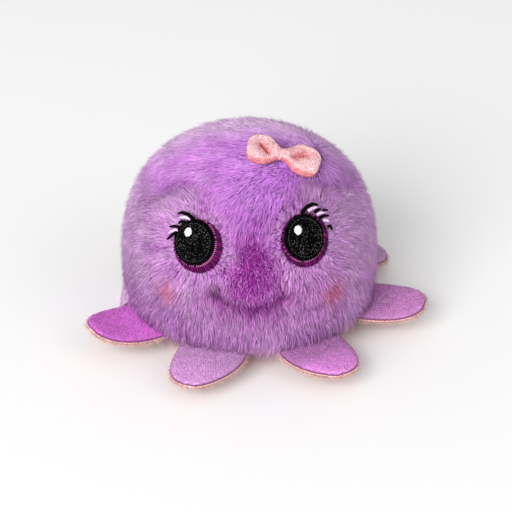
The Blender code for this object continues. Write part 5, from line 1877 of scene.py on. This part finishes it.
class OCTOPUS_OT_base(bpy.types.Operator):
    """Make the base, the sewn seam and the filling"""

    bl_idname = "octopus.base"
    bl_label = "Base and filling"

    def execute(self, context):
        sizes = context.scene.octopus_base
        cloth = velour_surface("base short pile cloth", 0.0012)
        self.base(sizes, cloth)
        self.sewn_seam(cloth)
        self.filling()
        return {"FINISHED"}

    def base(self, sizes, cloth):
        """Dish of cloth with a flat foot, piled on its outside."""
        outer = [tuple(point) for point in even_profile(0.0, BASE_RIM, 0.0009)]
        inner = inset_profile(outer, sizes.thickness)
        profile = [(FOOT_RADIUS * share, sizes.thickness) for share in (0.0, 0.25, 0.5, 0.75, 0.9)]
        profile += [point for point in reversed(inner) if point[0] > FOOT_RADIUS * 0.93] + outer
        profile += [(FOOT_RADIUS * share, 0.0) for share in (0.96, 0.75, 0.5, 0.25, 0.0)]
        mesh = turned_mesh(profile, 144)
        places = np.empty(len(mesh.vertices) * 3)
        mesh.vertices.foreach_get("co", places)
        places = places.reshape(-1, 3)
        radius, height = np.hypot(places[:, 0], places[:, 1]), places[:, 2]
        # Painted shade: the base cloth is darker towards the floor
        shade = 0.9 + 0.1 * smooth_step(0.0, 0.005, height)
        tint = np.tile(linear((255, 190, 172)), (len(places), 1)) * shade[:, None]
        radii, heights = np.array(outer[::-1]).T
        outside = (height < 0.0002) | (radius > np.interp(height, heights, radii) - 0.0004)
        cover = (outside & (height > 0.0006)) * 1.0
        comb = unit(places * [1.0, 1.0, 0.0] + [0.0, 0.0, 1e-6]) * 0.85
        give_values(mesh, **pile_values(tint, comb, cover, 0.8, 1.05, dull=0.36, fleck=0.0))
        add_piece("base_cloth", without(mesh.copy(), "tint"), cloth, "base_cloth", "base_panel", fill=0.6)
        add_pile("base_pile", mesh, pile_surface("base pile"), "base_cloth", 5.0e6, sizes.nap, 3)

    def sewn_seam(self, cloth):
        """Seam allowance with its running stitch."""
        outer_radius = outline_radius(ROOT_HEIGHT) + ROOT_STEP - (GAP / 2 + UNDER_LAYER_THICKNESS) - GAP
        middle, half = outer_radius - SEAM_HALF_WIDTH, (COVER_RIM - BASE_RIM) / 2 - GAP
        count, around = 144, 20
        points, faces = [], []
        for row in range(count):
            turn, after_row = step_turn(row, count), (row + 1) % count
            for index in range(around):
                angle, after = step_turn(index, around), (index + 1) % around
                radius = middle + SEAM_HALF_WIDTH * signed_power(math.cos(angle), 0.5)
                height = (COVER_RIM + BASE_RIM) / 2 + half * signed_power(math.sin(angle), 0.5)
                points.append(round_point(radius, turn, height))
                one, other = row * around, after_row * around
                faces.append((one + index, other + index, other + after, one + after))
        mesh = bpy.data.meshes.new("seam")
        mesh.from_pydata(points, [], faces)
        mesh.shade_smooth()
        give_values(mesh, tint=np.tile(linear((240, 178, 165)), (len(points), 1)))
        facing_outward(mesh)
        stitches = Stitches(0.00014)
        for number in range(110):
            line = []
            for step in np.linspace(0.0, 0.62, 5):
                turn = 2 * math.pi * (number + step) / 110
                radius = middle + SEAM_HALF_WIDTH + (0.00012 * math.sin(math.pi * step / 0.62) - 0.00004)
                line.append(round_point(radius, turn, (COVER_RIM + BASE_RIM) / 2 + 0.0014))
            stitches.add(line, linear((150, 70, 150)))
        add_piece("seam_allowance", joined(mesh, stitches.mesh(cloth)), cloth, "base_cloth", "seam_band")

    def filling(self):
        """Fibre filling and the pouch of pellets in its foot."""
        outer = inset_profile(even_profile(0.0005, BODY_HEIGHT - 0.0001, 0.0022), 0.0051)
        outer = [
            (min(radius, 0.0363), height) for radius, height in outer if radius > 0.0005 and height > 0.0024
        ]
        pocket = [(POUCH_RADIUS + 0.0010, 0.0024), (POUCH_RADIUS + 0.0010, POUCH_HEIGHT + 0.0034)]
        mesh = turned_mesh([(0.0, BODY_HEIGHT - 0.0051), *outer, *pocket, (0.0, POUCH_HEIGHT + 0.0034)], 96)
        for vertex in mesh.vertices:
            if vertex.co.y < 0 and vertex.co.z > 0.026:
                vertex.co.y -= float(muzzle_lift(vertex.co.x, vertex.co.z)) * 0.8
            x, y, z = vertex.co
            lump = math.sin(x * 520) * math.sin(y * 480 + 1) * math.sin(z * 500 + 2)
            if vertex.co.xy.length > POUCH_RADIUS + 0.004:
                vertex.co -= vertex.co.normalized() * 0.0004 * (1 + lump)
        give_values(mesh, tint=np.tile(linear((238, 238, 234)), (len(mesh.vertices), 1)))
        fibre = velour_surface("white fibre filling", 0.0045)
        add_piece("fibre_filling", mesh, fibre, "filling", "stuffing", fill=0.8)

        rim, half = [], POUCH_HEIGHT / 2 - 0.0003
        for angle in np.linspace(0.0, math.pi, 40):
            radius = (POUCH_RADIUS - 0.0003) * max(0.0, math.sin(angle)) ** (2 / 3)
            rim.append((radius, 0.0021 + POUCH_HEIGHT / 2 + half * signed_power(math.cos(angle), 2 / 3)))
        mesh = turned_mesh(rim, 96)
        for vertex in mesh.vertices:
            bead = math.sin(vertex.co.x * 1500) * math.sin(vertex.co.y * 1500) * math.sin(vertex.co.z * 1500)
            vertex.co -= (vertex.co - Vector((0, 0, 0.0116))).normalized() * 0.00018 * (1 - bead)
        give_values(mesh, tint=np.tile(linear((225, 224, 218)), (len(mesh.vertices), 1)))
        calico = velour_surface("pouch calico", 0.0007)
        add_piece("pellet_bag", mesh, calico, "pouch_cloth", "pellet_pouch", fill=0.7)


# Stage


class OCTOPUS_PG_stage(bpy.types.PropertyGroup):
    """Camera and lamps."""

    distance: FloatProperty(
        name="Distance", description="From the camera to the toy", default=0.585, unit="LENGTH",
    )
    elevation: FloatProperty(
        name="Elevation", description="Angle from which the camera looks down", default=PHOTO_TILT,
        subtype="ANGLE",
    )
    key_power: FloatProperty(
        name="Key lamp", description="Power of the large lamp over the toy", default=61.0,
    )


class OCTOPUS_OT_stage(bpy.types.Operator):
    """Set up the floor, the lamps and the camera"""

    bl_idname = "octopus.stage"
    bl_label = "Stage"

    def execute(self, context):
        sizes, scene = context.scene.octopus_stage, context.scene
        scene.view_settings.view_transform = "Standard"
        tilt = sizes.elevation
        upward = Vector((0.0, math.sin(tilt), math.cos(tilt)))
        forward = Vector((0.0, math.cos(tilt), -math.sin(tilt)))
        camera_data = bpy.data.cameras.new("photo_camera")
        camera_data.lens = 36 * sizes.distance / (PHOTO_PIXELS * PIXEL_SIZE)
        camera_data.clip_start = 0.01
        camera = bpy.data.objects.new("photo_camera", camera_data)
        aim = TARGET + Vector((TARGET_SHIFT[0], 0.0, 0.0)) + upward * TARGET_SHIFT[1]
        camera.location = aim - forward * sizes.distance
        camera.rotation_euler = (math.pi / 2 - tilt, 0.0, 0.0)
        scene.collection.objects.link(camera)
        scene.camera = camera

        mesh = bpy.data.meshes.new("floor")
        sides = ((-1, -1), (1, -1), (1, 1), (-1, 1))
        corners = [(across * FLOOR_REACH, back * FLOOR_REACH, 0) for across, back in sides]
        mesh.from_pydata(corners, [], [(0, 1, 2, 3)])
        floor = bpy.data.objects.new("floor", mesh)
        scene.collection.objects.link(floor)
        made, tree, shader = new_surface("pale floor", Roughness=0.9, Specular_IOR_Level=0.1)
        seen = tree.nodes.new("ShaderNodeLightPath").outputs["Is Camera Ray"]
        tone = mixed(tree, seen, (0.90, 0.90, 0.90, 1.0), (1.0, 1.0, 1.0, 1.0))
        plug(tree, tone, shader.inputs["Base Color"])
        mesh.materials.append(made)

        # The world is white where it is seen, and softer where it lights the toy
        world = bpy.data.worlds.new("studio")
        scene.world = world
        world.use_nodes = True
        tree = world.node_tree
        back = tree.nodes["Background"]
        path = tree.nodes.new("ShaderNodeLightPath").outputs
        clear = Term(tree, path["Is Glossy Ray"]).maths("MAXIMUM", path["Is Transmission Ray"])
        seen = Term(tree, path["Is Camera Ray"]).maths("MAXIMUM", clear)
        back.inputs["Color"].default_value = (1.0, 1.0, 1.0, 1.0)
        plug(tree, mixed(tree, seen, 0.5, 1.0, "FLOAT"), back.inputs["Strength"])
        for name, place, size, power in (
            ("key_lamp", (-1.05, -1.95, 1.26), 1.7, sizes.key_power),
            ("fill_lamp", (1.6, -1.2, 1.4), 1.4, sizes.key_power * 0.11),
        ):
            lamp_data = bpy.data.lights.new(name, "AREA")
            lamp_data.size, lamp_data.energy = size, power
            lamp = bpy.data.objects.new(name, lamp_data)
            lamp.location = place
            lamp.rotation_euler = (Vector((0, 0, 0.03)) - lamp.location).to_track_quat("-Z", "Y").to_euler()
            scene.collection.objects.link(lamp)
        return {"FINISHED"}


# Panel and order of the steps


STEPS = (
    (OCTOPUS_OT_stage, OCTOPUS_PG_stage, "octopus_stage"),
    (OCTOPUS_OT_cover, OCTOPUS_PG_cover, "octopus_cover"),
    (OCTOPUS_OT_eyes, OCTOPUS_PG_eyes, "octopus_eyes"),
    (OCTOPUS_OT_smile, OCTOPUS_PG_smile, "octopus_smile"),
    (OCTOPUS_OT_bow, OCTOPUS_PG_bow, "octopus_bow"),
    (OCTOPUS_OT_tentacles, OCTOPUS_PG_tentacles, "octopus_tentacles"),
    (OCTOPUS_OT_base, OCTOPUS_PG_base, "octopus_base"),
)


class OCTOPUS_PT_panel(bpy.types.Panel):
    """Lists the pieces in the order in which they are made"""

    bl_label = "Plush octopus"
    bl_idname = "OCTOPUS_PT_panel"
    bl_space_type = "VIEW_3D"
    bl_region_type = "UI"
    bl_category = "Plush octopus"

    def draw(self, context):
        for operator, _, group in STEPS:
            box = self.layout.box()
            box.operator(operator.bl_idname)
            values = getattr(context.scene, group)
            for name in values.__annotations__:
                box.prop(values, name)


def register():
    for operator, values, group in STEPS:
        bpy.utils.register_class(values)
        setattr(bpy.types.Scene, group, PointerProperty(type=values))
        bpy.utils.register_class(operator)
    bpy.utils.register_class(OCTOPUS_PT_panel)


def unregister():
    bpy.utils.unregister_class(OCTOPUS_PT_panel)
    for operator, values, group in reversed(STEPS):
        bpy.utils.unregister_class(operator)
        delattr(bpy.types.Scene, group)
        bpy.utils.unregister_class(values)


def main():
    register()
    bpy.ops.octopus.stage()
    bpy.ops.octopus.cover()
    bpy.ops.octopus.eyes()
    bpy.ops.octopus.smile()
    bpy.ops.octopus.bow()
    bpy.ops.octopus.tentacles()
    bpy.ops.octopus.base()


if __name__ == "__main__":
    main()
